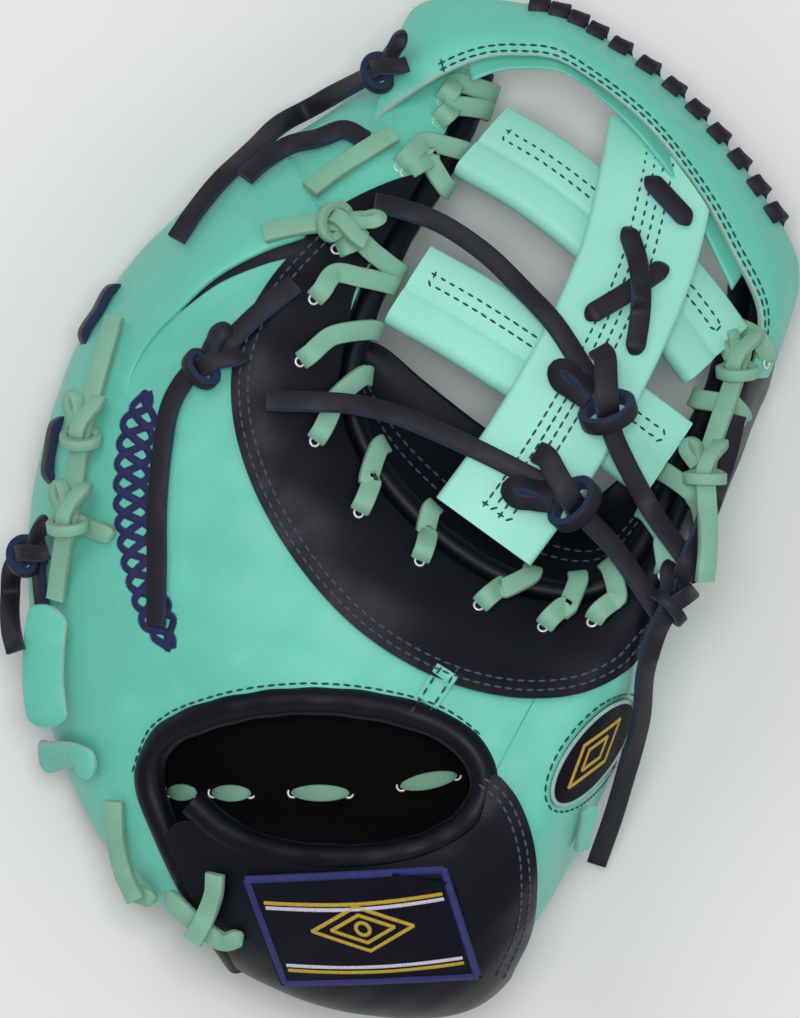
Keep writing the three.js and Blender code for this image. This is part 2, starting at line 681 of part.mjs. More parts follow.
// The lining lace runs through the lining behind the opening.
const liningStitches = places([[22.6, 78.1], [29, 77.9], [40, 77.8], [53.8, 76.6]]);
const stitchLength = 8;
lining = largest(lining);
const liningTop = ground([lining]);
const liningLace = whipped((push, pierce) => {
  const under = -liningThickness - halfLace - 4 * clearance;
  const over = halfLace + 2 * clearance;
  const wide = 0.5 * stitchLength;
  for (const centre of liningStitches) {
    const ends = [[-wide - 1, under], [-wide, over], [wide, over], [wide + 1, under]].map(([along, lift]) => {
      const at = new THREE.Vector3(centre.x + along, centre.y, 0);
      return at.setZ(liningTop(at.x, at.y).up + lift);
    });
    ends.forEach((end) => push(end, UP));
    pierce(ends[0], ends[1], new THREE.Vector3(-1, 0, 0));
    pierce(ends[2], ends[3], new THREE.Vector3(1, 0, 0));
  }
});

function cutClear(solid, ...cuts) {
  return largest(cuts.reduce((kept, cut) => kept.subtract(cut), solid));
}

const barCuts = [bar(upperBarTable, clearance), bar(lowerBarTable, clearance)];
const webCuts = [flapCut, foldCut, webLace.cut];
const thumbLoops = crotchLace.sleeve.intersect(prism(places([[86, 20], [100, 20], [100, 54], [86, 54]])));
fingerBack = cutClear(fingerBack, crotchLace.cut, rimLace.cut, ...webCuts);
thumbBack = cutClear(thumbBack, crotchLace.cut, ...webCuts);
crescent = cutClear(crescent, crotchLace.cut, thumbLoops, flap, ...webCuts, ...barCuts);
crotchRoll = cutClear(crotchRoll, ...webCuts, ...barCuts);
palm = cutClear(
  palm, crotchLace.cut, thumbLoops, thumbBack, crotchLace.solid, liningLace.sleeve, ...webCuts, ...barCuts,
);
lining = cutClear(lining, liningLace.sleeve);
flap = cutClear(flap, webLace.cut, webLace.solid);
post = cutClear(post, flapCut, foldCut);
upperBar = cutClear(upperBar, crotchLace.sleeve, flapCut, foldCut);
lowerBar = cutClear(lowerBar, crotchLace.sleeve);

// Laces and tabs that lie on the leather. A route is laid over what is under it, no steeper than its slope.
const layStep = 3;
const freeTail = 6 * laceWidth; // a longer tail is a cord
const floorGap = 0.3;

function lay(line, top, { width = laceWidth, thickness = laceThickness, slope, lift, humps = [] }) {
  const flat = new THREE.CatmullRomCurve3(line, false, "centripetal");
  const points = flat.getSpacedPoints(Math.max(2, Math.round(flat.getLength() / layStep)));
  const sides = directions(points).map((along) => along.cross(UP));
  const heights = points.map((p, i) => [-0.5, 0, 0.5].map((share) => {
    const probe = p.clone().addScaledVector(sides[i], share * width);
    return Math.max(top(probe.x, probe.y).up, floorGap - lift);
  }));
  const humped = heights.map((row, i) => {
    const near = humps.some((hump) => hump.at.distanceTo(points[i].clone().setZ(hump.at.z)) < hump.reach);
    return Math.max(...row) + (near ? humps[0].rise : 0);
  });
  const seat = humped.map((_, i) => Math.max(...humped.map((h, j) => h - slope * layStep * Math.abs(i - j))));
  const laid = points.map((p, i) => new THREE.Vector3(p.x, p.y, seat[i] + lift + thickness / 2));
  return {
    points: laid,
    tangents: directions(laid),
    ups: points.map((_, i) => {
      const lean = Math.min(Math.max((heights[i][2] - heights[i][0]) / width, -0.5), 0.5);
      return UP.clone().addScaledVector(sides[i], -lean).normalize();
    }),
  };
}

// A knot is a band wound round the strand.
const knotLength = 1.5 * laceWidth;
const knotRise = laceThickness * 1.15;

function knotOn(route, middle) {
  const centre = route.points[middle];
  const along = route.tangents[middle];
  const side = along.clone().cross(route.ups[middle]).normalize();
  const up = side.clone().cross(along).normalize();
  const ring = { points: [], ups: [] };
  const turns = 4;
  for (let k = 0; k <= turns; k++) {
    const turn = THREE.MathUtils.degToRad(-76 + (332 * k) / turns);
    const out = side.clone().multiplyScalar(Math.cos(turn)).addScaledVector(up, Math.sin(turn));
    const at = centre.clone().addScaledVector(side, Math.cos(turn) * (laceWidth / 2 + halfLace * 0.7));
    at.addScaledVector(up, Math.sin(turn) * knotRise);
    at.addScaledVector(along, Math.cos(turn) * 0.2 * laceWidth);
    ring.points.push(at);
    ring.ups.push(out);
  }
  return sweep(ring, laceSection);
}

function picked(route, numbers) {
  const pick = (list) => numbers.map((i) => list[i]);
  return { points: pick(route.points), ups: pick(route.ups), tangents: pick(route.tangents) };
}

// A stretch of a route in longer steps.
function stretch(route, from, to, every) {
  const count = Math.max(1, Math.round((to - from) / every));
  const numbers = Array.from({ length: count + 1 }, (_, k) => Math.round(from + ((to - from) * k) / count));
  return picked(route, numbers);
}

function shortened(route, start, end) {
  const points = route.points.map((p) => p.clone());
  points[0].addScaledVector(route.tangents[0], start);
  points.at(-1).addScaledVector(route.tangents.at(-1), -end);
  return { ...route, points };
}

const group = new THREE.Group();
const leathers = [];

function add(name, solid, material) {
  const mesh = new THREE.Mesh(geometryOf(solid), material);
  mesh.name = name;
  group.add(mesh);
  leathers.push(solid);
}

// knots are the numbers of the line's points where a knot sits.
// names are for the stretches and knots in turn.
function chain({ names, line, knots = [], slope, material }) {
  const row = places(line);
  const humps = knots.map((k) => ({ at: row[k], reach: knotLength * 0.7, rise: knotRise }));
  const top = ground(leathers);
  const reach = Math.ceil(knotLength / 2 / layStep) + 1;
  const corner = laceThickness * 0.3;
  const make = (lift) => {
    const route = lay(row, top, { slope, lift, humps });
    const last = route.points.length - 1;
    const away = (p, q) => Math.hypot(q.x - p.x, q.y - p.y);
    const nearest = (p) => route.points.reduce((best, q, i) => (
      away(p, q) < away(p, route.points[best]) ? i : best
    ), 0);
    const pieces = [];
    let from = 0;
    for (const mark of [...knots.map((k) => nearest(row[k])), Infinity]) {
      const until = Math.min(Math.max(mark - reach, 0), last);
      if (until - from > 1) {
        const gaps = [from ? clearance : 0, mark < Infinity ? clearance : 0];
        const part = shortened(stretch(route, from, until, 5), ...gaps);
        const free = mark === Infinity && route.points.length - from > freeTail / layStep;
        pieces.push(sweep(part, free ? flatSection(laceWidth, laceThickness, corner) : laceSection));
      }
      if (mark === Infinity) continue;
      const end = Math.min(mark + reach, last);
      pieces.push(largest(sweep(picked(route, [until, mark, end]), laceSection).add(knotOn(route, mark))));
      from = end;
    }
    return pieces;
  };
  const pieces = settled(make, leathers);
  if (pieces.length !== names.length) throw new Error(`${names[0]} has ${pieces.length} pieces`);
  pieces.forEach((piece, i) => add(names[i], piece, material));
}

add("finger_back", fingerBack, mint);
add("thumb_back", thumbBack, mint);
add("crescent", crescent, navy);
add("crotch_binding", crotchRoll, navy);
add("wrist_binding", wristRoll, navy);
add("wrist_strap", wristStrap, navy);
add("strap_patch", strapPatch, cloth);
add("thumb_badge", thumbBadge, cloth);
add("palm", palm, mint);
add("palm_lining", lining, darkLining);
add("web_post", post, mint);
add("web_upper_bar", upperBar, mint);
add("web_lower_bar", lowerBar, mint);
add("web_flap", flap, mint);
add("web_fold", fold, mint);
add("crotch_lace", crotchLace.solid, mintLace);
add("web_edge_lace", webLace.solid, navyLace);
add("rim_lace", rimLace.solid, navyLace);
add("lining_lace", liningLace.solid, mintLace);

const chains = [
  {
    names: ["upper_lace", "upper_knot", "upper_tail"],
    material: navyLace,
    slope: 0.3,
    knots: [7],
    line: [
      [46.9, 20.1], [50.6, 20.8], [55, 22.1], [60.6, 25.1], [65, 28.5], [69, 31.9], [72.3, 35.9], [75, 39.5],
      [76.5, 43.2], [79, 47.2], [81.5, 50.6], [84.4, 53.8], [87.1, 56.7],
    ],
  },
  {
    names: ["lower_lace", "lower_knot", "lower_tail"],
    material: navyLace,
    slope: 0.3,
    knots: [7],
    line: [
      [33.5, 39.5], [38.8, 39.6], [43.8, 39.8], [49.4, 40.8],
      [53.8, 42.2], [59.4, 44.2], [65, 46.4], [70, 48.6],
      [73.8, 51.6], [76.5, 53.8], [79.4, 57], [82.8, 61.1],
    ],
  },
  {
    names: ["side_lace", "side_knot", "side_tail"],
    material: navyLace,
    slope: 0.5,
    knots: [3],
    line: [
      [37, 28.1], [32.5, 31], [28.6, 34], [26.6, 35.8],
      [24.2, 36.8], [22.5, 38.5], [21.4, 40.5], [20.6, 44.2],
      [20, 49.1], [19.9, 55], [19.8, 61.4],
    ],
  },
  {
    names: ["top_knot", "top_tail"],
    material: navyLace,
    slope: 1.2,
    knots: [1],
    line: [
      [49.4, 5.9], [48.1, 6.7], [45, 7.7], [40, 9.6], [35, 11.8], [31.3, 14.7], [27.5, 17.7], [24.6, 20.6],
      [22.1, 23.6],
    ],
  },
  {
    names: ["top_strand"],
    material: navyLace,
    slope: 0.6,
    line: [[45.6, 13.8], [43.1, 12.8], [39.8, 13.6], [36.3, 14.2], [33.1, 15.7], [30.6, 17.5]],
  },
  {
    names: ["thumb_lace", "thumb_knot", "thumb_tail"],
    material: navyLace,
    slope: 1.2,
    knots: [4],
    line: [
      [91.9, 40.8], [90.6, 45], [88.6, 49.5], [86, 54.4],
      [83.5, 58.9], [81.6, 62.2], [80.4, 65.8], [80, 70.7],
      [78.5, 75.6], [76.9, 80.5], [75, 85.3],
    ],
  },
  {
    names: ["rim_knot", "rim_tail"],
    material: navyLace,
    slope: 1.5,
    knots: [1],
    line: [[5.4, 53.4], [3.9, 54.2], [1.5, 55.6], [0.9, 58.9], [1.2, 61.7], [2, 64]],
  },
  {
    names: ["web_knot", "web_tail"],
    material: mintLace,
    slope: 0.6,
    knots: [1],
    line: [[45.4, 23.9], [43.1, 22.4], [40, 22.2], [36.3, 22.6], [33.1, 23.2]],
  },
  {
    names: ["finger_tail"],
    material: mintLace,
    slope: 0.6,
    line: [[49.2, 13.2], [46.3, 14.6], [42.5, 16.6], [38.8, 18.9]],
  },
  {
    names: ["left_tail", "left_knot", "left_lace", "left_end_knot", "left_end"],
    material: mintLace,
    slope: 0.8,
    knots: [3, 5],
    line: [
      [14.4, 31.2], [13.1, 34.9], [11.9, 38.3], [10.6, 42.2], [9.8, 46.2], [9, 50.6], [8, 54], [7, 58.9],
    ],
  },
  {
    names: ["heel_lace"],
    material: mintLace,
    slope: 0.8,
    line: [[26.9, 86.4], [25, 88.9], [24.4, 91.4], [26.9, 92.8], [30.6, 92.8]],
  },
  {
    names: ["heel_side_lace"],
    material: mintLace,
    slope: 0.8,
    line: [[14.4, 78.6], [14.5, 82], [15.3, 85.5], [17, 88.4]],
  },
  {
    names: ["right_knot", "right_lace", "right_end_knot", "right_tail"],
    material: mintLace,
    slope: 0.8,
    knots: [1, 4],
    line: [
      [92.9, 33.6], [92.3, 35.8], [91, 38.8], [89.4, 42.2], [87.9, 46.2], [88, 49.6], [88, 53.5], [87.6, 57],
    ],
  },
];

// Tabs are short straps at the little finger's rim and at the thumb.
function tab({ name, line, width, slope }) {
  const top = ground(leathers);
  const [piece] = settled((lift) => {
    const route = lay(places(line), top, { width, thickness: tabThickness, slope, lift });
    return [sweep(stretch(route, 0, route.points.length - 1, 3), flatSection(width, tabThickness))];
  }, leathers);
  add(name, piece, mint);
}

const tabs = [
  {
    name: "pinkie_tab",
    width: pinkieTabWidth,
    slope: 1.2,
    line: [[6.2, 59.5], [5.6, 63], [5.4, 67], [6, 71.5]],
  },
  { name: "pinkie_loop", width: pinkieLoopWidth, slope: 1.2, line: [[4.6, 74.6], [8.2, 74.2], [12, 75.4]] },
  { name: "thumb_tab", width: thumbTabWidth, slope: 1.2, line: [[73.6, 79], [73.2, 81], [72.6, 83.4]] },
];
const postStitches = [
  { name: "post_stitch", line: [[81.3, 17.7], [86.3, 21.6]] },
  { name: "cross_under", line: [[73.1, 31.9], [83.5, 26]] },
  { name: "cross_over", line: [[78.4, 22.8], [80, 34.9]] },
];
for (const row of tabs) tab(row);
for (const row of postStitches) chain({ names: [row.name], line: row.line, slope: 1, material: navyLace });
for (const row of chains) chain(row);

// The origin stands under the middle of everything but the free tails.
const freeTails = ["upper_tail", "lower_tail", "side_tail", "top_tail", "thumb_tail"];
const whole = new THREE.Box3();
for (const mesh of group.children) if (!freeTails.includes(mesh.name)) whole.expandByObject(mesh);
const middle = whole.getCenter(new THREE.Vector3());
for (const mesh of group.children) mesh.geometry.translate(-middle.x, -middle.y, 0);

export default group;
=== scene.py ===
"""Looks of a first baseman mitt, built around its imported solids.

Lengths in the tables are millimetres, places are percent of the mitt's width, length and height,
and every mesh is made in metres in the row's frame.
"""

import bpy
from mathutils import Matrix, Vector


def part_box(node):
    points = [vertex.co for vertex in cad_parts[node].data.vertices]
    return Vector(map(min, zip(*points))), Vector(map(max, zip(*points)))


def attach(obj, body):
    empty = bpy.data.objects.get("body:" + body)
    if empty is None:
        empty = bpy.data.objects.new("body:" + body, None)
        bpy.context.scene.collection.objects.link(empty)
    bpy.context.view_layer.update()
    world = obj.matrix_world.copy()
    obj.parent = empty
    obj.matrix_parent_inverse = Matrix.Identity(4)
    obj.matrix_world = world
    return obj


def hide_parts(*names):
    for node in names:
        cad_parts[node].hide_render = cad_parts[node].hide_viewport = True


bl_info = {
    "name": "First Baseman Mitt",
    "version": (1, 0, 0),
    "blender": (4, 5, 0),
    "location": "View3D > Sidebar > Mitt",
    "description": "Leather, web, laces, stitches and patches of a first baseman mitt",
    "category": "Object",
}

import math

import bpy
import numpy as np
from mathutils import Vector
from mathutils.bvhtree import BVHTree

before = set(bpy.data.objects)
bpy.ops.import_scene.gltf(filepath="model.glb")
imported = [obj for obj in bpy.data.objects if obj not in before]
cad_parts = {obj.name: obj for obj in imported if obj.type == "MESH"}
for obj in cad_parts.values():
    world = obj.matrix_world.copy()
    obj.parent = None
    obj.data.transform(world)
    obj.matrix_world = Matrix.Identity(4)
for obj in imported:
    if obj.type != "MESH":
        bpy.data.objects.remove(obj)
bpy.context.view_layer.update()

MM = 0.001
UP = np.array([0.0, 0.0, 1.0])

# Driving sizes, the same as the solids have.
MITT_WIDTH = 256.0
MITT_LENGTH = 326.0
BACK_HEIGHT = 100.0
MIDDLE = np.array([-0.06, 2.5, 0.0])  # from the photo's middle to the row's origin
BACK_THICKNESS = 3.0
PALM_EDGE = 4.0
PALM_PADDING = 8.0
INNER_EDGE = 10.0
OVERLAY = 1.8
LINING = 1.6
STRAP = 2.8
LABEL = 1.2
WRIST_ROLL = 4.6
CROTCH_ROLL = 4.0
TAB = 2.6
CLEARANCE = 0.4
SEAM = 0.59
CROWN_REACH = 0.42
PALM_HANDLES = (0.4, 0.86)
POCKET_DIP = 5.0
POCKET_RISE = 36.0
PUFF_HEIGHT = 4.5
PUFF_REACH = 16.0


# Places, tables and smooth curves.
def place(across, down, up=0.0):
    return np.array([
        (across / 100 - 0.5) * MITT_WIDTH,
        (0.5 - down / 100) * MITT_LENGTH,
        up / 100 * BACK_HEIGHT,
    ]) - MIDDLE


def places(rows):
    return np.array([place(*row) for row in rows])


# Cross-sections from the finger tip round to the thumb tip, as inner xyz, back xyz, palm xyz, crown, shoulder
# and reach.
SECTIONS = np.array([
    [58.8, 6.5, 36, 50.0, 4.5, 14, 50.6, 5.0, 6, 6, 14, 1.03],
    [56.5, 11.6, 46, 42.0, 10.0, 11, 42.7, 10.7, 1.5, 12, 34, 1.03],
    [52.5, 17.5, 60, 30.8, 15.5, 10, 31.7, 16.2, -1, 16, 48, 1.03],
    [47.3, 24.6, 72, 18.9, 23.2, 10, 20.0, 23.9, -1, 20, 56, 1.03],
    [43.3, 32.4, 79, 11.0, 31.3, 12, 12.1, 31.7, 2.5, 23, 60, 1.03],
    [42.3, 40.3, 83, 5.7, 41.1, 15, 6.8, 41.1, 6, 25, 60, 1.03],
    [46.0, 47.0, 85, 3.2, 51.1, 18, 4.3, 50.9, 9, 26, 58, 1.03],
    [52.3, 52.6, 86, 3.5, 61.9, 18, 4.6, 61.4, 9, 28, 54, 1.03],
    [58.5, 56.3, 86, 7.2, 74.6, 19, 8.3, 73.8, 7.5, 32, 54, 1.03],
    [63.8, 58.4, 86, 15.4, 85.9, 28, 16.2, 84.5, 4, 36, 54, 1.03],
    [68.1, 59.3, 86, 28.2, 93.5, 44, 26.9, 90.9, 1, 40, 48, 1.03],
    [71.9, 59.5, 86, 42.5, 98.2, 54, 41.3, 94.5, -1, 40, 44, 1.03],
    [75.4, 58.9, 86, 58.8, 98.2, 50, 56.3, 95.1, -1, 36, 44, 1],
    [78.8, 57.2, 85, 68.2, 89.6, 30, 67.3, 87.4, 2, 30, 46, 0.97],
    [81.9, 53.8, 82, 75.7, 78.1, 16, 74.8, 77.0, 4, 24, 46, 0.93],
    [84.8, 49.3, 78, 81.3, 64.8, 12, 80.3, 64.2, 2, 20, 42, 0.93],
    [88.1, 43.9, 70, 86.8, 55.0, 10, 85.8, 54.5, -1, 14, 36, 0.96],
    [91.6, 37.8, 60, 92.6, 44.7, 10, 91.6, 44.3, -1, 10, 28, 1],
    [94.0, 31.2, 48, 96.1, 36.5, 11, 95.2, 36.0, 1.5, 7, 20, 1.03],
    [94.8, 25.7, 36, 98.3, 28.0, 14, 97.4, 28.0, 6, 4, 12, 1.03],
])
FOLD_LINE = places([
    [42.8, 22], [41.2, 22.9], [37.3, 23.9], [33.3, 25], [27.4, 27.5], [22.8, 30.7], [19.6, 33.2],
    [17.3, 35.9],
    [15.8, 39.3],
])


def read_rows(table, t):
    """Rows of a table at shares t of its length, on a smooth spline."""
    last = len(table) - 1
    along = np.asarray(t, float) * last
    i = np.clip(np.floor(along).astype(int), 0, last - 1)
    u = (along - i)[..., None]
    a, b, c, d = (table[np.clip(i + k, 0, last)] for k in (-1, 0, 1, 2))
    return 0.5 * (2 * b + (c - a) * u + (2 * a - 5 * b + 4 * c - d) * u**2 + (3 * b - a - 3 * c + d) * u**3)


def percent(rows):
    """Percent triples as millimetres in the row's frame."""
    scale = np.array([MITT_WIDTH, -MITT_LENGTH, BACK_HEIGHT]) / 100
    start = np.array([-MITT_WIDTH / 2, MITT_LENGTH / 2, 0]) - MIDDLE
    return rows * scale + start


def bezier(p0, p1, p2, p3, s):
    s = np.asarray(s, float)[..., None]
    r = 1 - s
    return r**3 * p0 + 3 * r * r * s * p1 + 3 * r * s * s * p2 + s**3 * p3


def handle(start, end, share, height):
    at = start + (end - start) * share
    at[..., 2] = height
    return at


def plain_back(t, s):
    row = read_rows(SECTIONS, t)
    start, end = percent(row[..., 0:3]), percent(row[..., 3:6])
    crown, shoulder = row[..., 9] * BACK_HEIGHT / 100, row[..., 10] * BACK_HEIGHT / 100
    first = handle(start, end, CROWN_REACH, start[..., 2] + crown)
    second = handle(start, end, row[..., 11:12], end[..., 2] + shoulder)
    return bezier(start, first, second, end, s)


def palm_face(t, s):
    row = read_rows(SECTIONS, t)
    start, end = percent(row[..., 0:3]), percent(row[..., 6:9])
    start[..., 2] -= INNER_EDGE
    dip = POCKET_DIP * BACK_HEIGHT / 100
    rise = np.minimum(POCKET_RISE * BACK_HEIGHT / 100, 0.5 * start[..., 2])
    first = handle(start, end, PALM_HANDLES[0], start[..., 2] - dip)
    second = handle(start, end, PALM_HANDLES[1], end[..., 2] + rise)
    return bezier(start, first, second, end, s)


def unit(v):
    return v / np.maximum(np.linalg.norm(v, axis=-1, keepdims=True), 1e-12)


def normal_of(face, t, s, step=1e-3):
    t = np.clip(t, step, 1 - step)
    s = np.clip(s, step, 1 - step)
    along_t = face(t + step, s) - face(t - step, s)
    along_s = face(t, s + step) - face(t, s - step)
    return unit(np.cross(along_s, along_t))


def waves(at, table):
    """Soft relief: a sum of slow waves with fixed directions."""
    total = np.zeros(at.shape[:-1])
    for size, length, x, y, z, phase in table:
        total += size * np.sin((at @ np.array([x, y, z])) * 2 * math.pi / length + phase)
    return total


SOFT_RELIEF = [
    (0.55, 61, 0.8, 0.5, 0.3, 0.4), (0.45, 43, -0.4, 0.9, 0.2, 1.9), (0.3, 29, 0.95, -0.2, 0.1, 3.1),
    (0.22, 19, 0.3, 0.9, -0.3, 0.8), (0.14, 12, -0.7, 0.6, 0.4, 2.2),
]


def puff(at):
    """How far the outer band stands over the inner panel beside the fold."""
    flat = at[..., :2]
    best = np.full(flat.shape[:-1], np.inf)
    side, share = np.zeros_like(best), np.zeros_like(best)
    last = len(FOLD_LINE) - 1
    for i in range(last):
        run = (FOLD_LINE[i + 1] - FOLD_LINE[i])[:2]
        off = flat - FOLD_LINE[i][:2]
        k = np.clip(off @ run / (run @ run), 0, 1)
        distance = np.linalg.norm(off - k[..., None] * run, axis=-1)
        near = distance < best
        best = np.where(near, distance, best)
        side = np.where(near, run[0] * off[..., 1] - run[1] * off[..., 0], side)
        share = np.where(near, (i + k) / last, share)
    signed = np.where(side < 0, best, -best)
    rise = np.clip(signed / PUFF_REACH + 0.5, 0, 1)
    return fold_fade(share) * PUFF_HEIGHT * rise * rise * (3 - 2 * rise) * np.exp(-np.maximum(signed, 0) / 30)


def fold_fade(share):
    """The fold is deep at its middle and runs out at both ends."""
    return np.sin(math.pi * np.clip(share, 0, 1)) ** 0.6


def edge_fade(s):
    return np.minimum(1, s * 5) * np.minimum(1, (1 - s) * 5)


def back_face(t, s):
    at = plain_back(t, s)
    lift = (puff(at) + waves(at, SOFT_RELIEF)) * np.clip(edge_fade(s), 0, 1)
    return at + normal_of(plain_back, t, s) * lift[..., None]


def raised(face, lift):
    def go(t, s):
        base = plain_back if face is back_face else face
        return face(t, s) + normal_of(base, t, s) * lift
    return go


def pad_at(s):
    return PALM_EDGE + PALM_PADDING * np.abs(np.sin(math.pi * s)) ** 1.5


def padded_top(extra):
    def go(t, s):
        start = palm_face(t, s)
        toward = raised(plain_back, -BACK_THICKNESS - 3 * CLEARANCE)(t, s) - start
        room = np.linalg.norm(toward, axis=-1)
        thick = np.minimum(pad_at(s) + extra, 0.75 * room)
        return start + unit(toward) * thick[..., None]
    return go


def smooth(points, step=1.0, closed=False):
    """A smooth curve through points, in even steps."""
    p = np.asarray(points, float)
    if closed:
        p = np.vstack([p[-1], p, p[0], p[1]])
    else:
        p = np.vstack([2 * p[0] - p[1], p, 2 * p[-1] - p[-2]])
    out = []
    for k in range(1, len(p) - 2):
        a, b, c, d = p[k - 1:k + 3]
        ta = 0.0
        tb = ta + max(np.linalg.norm((b - a)[:3]), 1e-6) ** 0.5
        tc = tb + max(np.linalg.norm((c - b)[:3]), 1e-6) ** 0.5
        td = tc + max(np.linalg.norm((d - c)[:3]), 1e-6) ** 0.5
        t = np.linspace(tb, tc, 24, endpoint=False)[:, None]
        ab = (tb - t) / (tb - ta) * a + (t - ta) / (tb - ta) * b
        bc = (tc - t) / (tc - tb) * b + (t - tb) / (tc - tb) * c
        cd = (td - t) / (td - tc) * c + (t - tc) / (td - tc) * d
        abc = (tc - t) / (tc - ta) * ab + (t - ta) / (tc - ta) * bc
        bcd = (td - t) / (td - tb) * bc + (t - tb) / (td - tb) * cd
        out.append((tc - t) / (tc - tb) * abc + (t - tb) / (tc - tb) * bcd)
    out = np.vstack(out + [p[-2:-1]])
    return even(out, step)


def even(points, step):
    """The same line in even steps."""
    gaps = np.linalg.norm(np.diff(points[:, :3], axis=0), axis=1)
    far = np.concatenate([[0], np.cumsum(gaps)])
    count = max(2, int(round(far[-1] / step)))
    want = np.linspace(0, far[-1], count + 1)
    return np.stack([np.interp(want, far, points[:, k]) for k in range(points.shape[1])], axis=1)


def tangents(points):
    return unit(np.gradient(points, axis=0))


def closed_tangents(points):
    return unit(np.roll(points, -1, axis=0) - np.roll(points, 1, axis=0))


# Meshes.
def mesh_object(name, vertices, faces, materials=(), indices=None, sharp=38):
    """A new object from vertices in millimetres."""
    mesh = bpy.data.meshes.new(name)
    mesh.from_pydata((np.asarray(vertices) * MM).tolist(), [], [list(map(int, f)) for f in faces])
    for material in materials:
        mesh.materials.append(material)
    if indices is not None:
        mesh.polygons.foreach_set("material_index", np.asarray(indices, np.int32))
    finish_mesh(mesh, sharp)
    obj = bpy.data.objects.new(name, mesh)
    bpy.context.scene.collection.objects.link(obj)
    return obj


def finish_mesh(mesh, sharp=38):
    mesh.polygons.foreach_set("use_smooth", np.ones(len(mesh.polygons), bool))
    if sharp:
        mesh.set_sharp_from_angle(angle=math.radians(sharp))
    mesh.update()


def applied(obj, sharp=38):
    """The object with its modifiers applied."""
    bpy.context.view_layer.update()
    evaluated = obj.evaluated_get(bpy.context.evaluated_depsgraph_get())
    mesh = bpy.data.meshes.new_from_object(evaluated)
    obj.modifiers.clear()
    obj.data = mesh
    finish_mesh(mesh, sharp)
    return obj


def grid_faces(rows, columns, start=0, flip=False):
    i, j = np.meshgrid(np.arange(rows - 1), np.arange(columns - 1), indexing="ij")
    a = (start + i * columns + j).ravel()
    quads = np.stack([a, a + columns, a + columns + 1, a + 1], axis=1)
    return quads[:, ::-1] if flip else quads


def edge_distance(grid):
    """How far each point of a grid lies from the grid's nearest side."""
    best = np.full(grid.shape[:2], np.inf)
    for axis in (0, 1):
        gaps = np.linalg.norm(np.diff(grid, axis=axis), axis=-1)
        start = np.zeros_like(gaps.take([0], axis=axis))
        far = np.concatenate([start, np.cumsum(gaps, axis=axis)], axis=axis)
        best = np.minimum(best, np.minimum(far, far.take([-1], axis=axis) - far))
    return best


def closed_sheet(name, top, under, materials, edge_material=0, pale=0):
    """A closed mesh between two grids of points. The first columns of its top may take the edge material."""
    rows, columns = top.shape[:2]
    count = rows * columns
    faces = [grid_faces(rows, columns), grid_faces(rows, columns, count, True)]
    rim = np.concatenate([
        np.arange(columns), np.arange(1, rows) * columns + columns - 1,
        (rows - 1) * columns + np.arange(columns - 2, -1, -1), np.arange(rows - 2, 0, -1) * columns,
    ])
    after = np.roll(rim, -1)
    faces.append(np.stack([rim, after, after + count, rim + count], axis=1))
    upper = np.zeros((rows - 1, columns - 1))
    upper[:, :pale] = edge_material
    indices = np.concatenate([upper.ravel(), np.zeros(len(faces[1])), np.full(len(rim), edge_material)])
    vertices = np.vstack([top.reshape(-1, 3), under.reshape(-1, 3)])
    obj = mesh_object(name, vertices, np.vstack(faces), materials, indices)
    outward(obj)
    return obj


def layer(name, high, low, t, s, materials, edge_material=0, radius=0.9, pale=0):
    """A closed sheet between two faces over a grid of shares, with rounded edges."""
    tt, ss = np.meshgrid(t, s, indexing="ij")
    top, under = high(tt, ss), low(tt, ss)
    gap = under - top
    share = 1 - np.clip(edge_distance(top) / radius, 0, 1)
    drop = np.minimum(radius * (1 - np.sqrt(1 - share**2)), 0.47 * np.linalg.norm(gap, axis=-1))
    inward = unit(gap) * drop[..., None]
    return closed_sheet(name, top + inward, under - inward, materials, edge_material, pale)


def outward(obj):
    """Turns a closed mesh so that its faces point out."""
    mesh = obj.data
    mesh.calc_loop_triangles()
    co = np.empty(len(mesh.vertices) * 3)
    mesh.vertices.foreach_get("co", co)
    co = co.reshape(-1, 3)
    tri = np.empty(len(mesh.loop_triangles) * 3, np.int32)
    mesh.loop_triangles.foreach_get("vertices", tri)
    a, b, c = (co[tri.reshape(-1, 3)[:, k]] for k in range(3))
    if np.einsum("ij,ij->i", a, np.cross(b, c)).sum() < 0:
        mesh.flip_normals()
        mesh.update()


def prism(name, outline, material, low=-20.0, high=160.0):
    """A closed cutter over a plan outline."""
    n = len(outline)
    flat = np.asarray(outline)[:, :2]
    area = np.sum(flat[:, 0] * np.roll(flat[:, 1], -1) - np.roll(flat[:, 0], -1) * flat[:, 1])
    if area < 0:
        flat = flat[::-1]
    lows = np.column_stack([flat, np.full(n, low)])
    highs = np.column_stack([flat, np.full(n, high)])
    faces = [list(range(n))[::-1], list(range(n, 2 * n))]
    faces += [[i, (i + 1) % n, n + (i + 1) % n, n + i] for i in range(n)]
    return mesh_object(name, np.vstack([lows, highs]), faces, [material], sharp=0)


def trim(obj, outline, operation, edge):
    """Cuts an object by a plan outline. The cut faces take the edge material."""
    cutter = prism("cutter", outline, edge)
    modifier = obj.modifiers.new("trim", "BOOLEAN")
    modifier.object = cutter
    modifier.operation = operation
    modifier.solver = "EXACT"
    modifier.material_mode = "TRANSFER"
    applied(obj)
    bpy.data.objects.remove(cutter)
    return obj


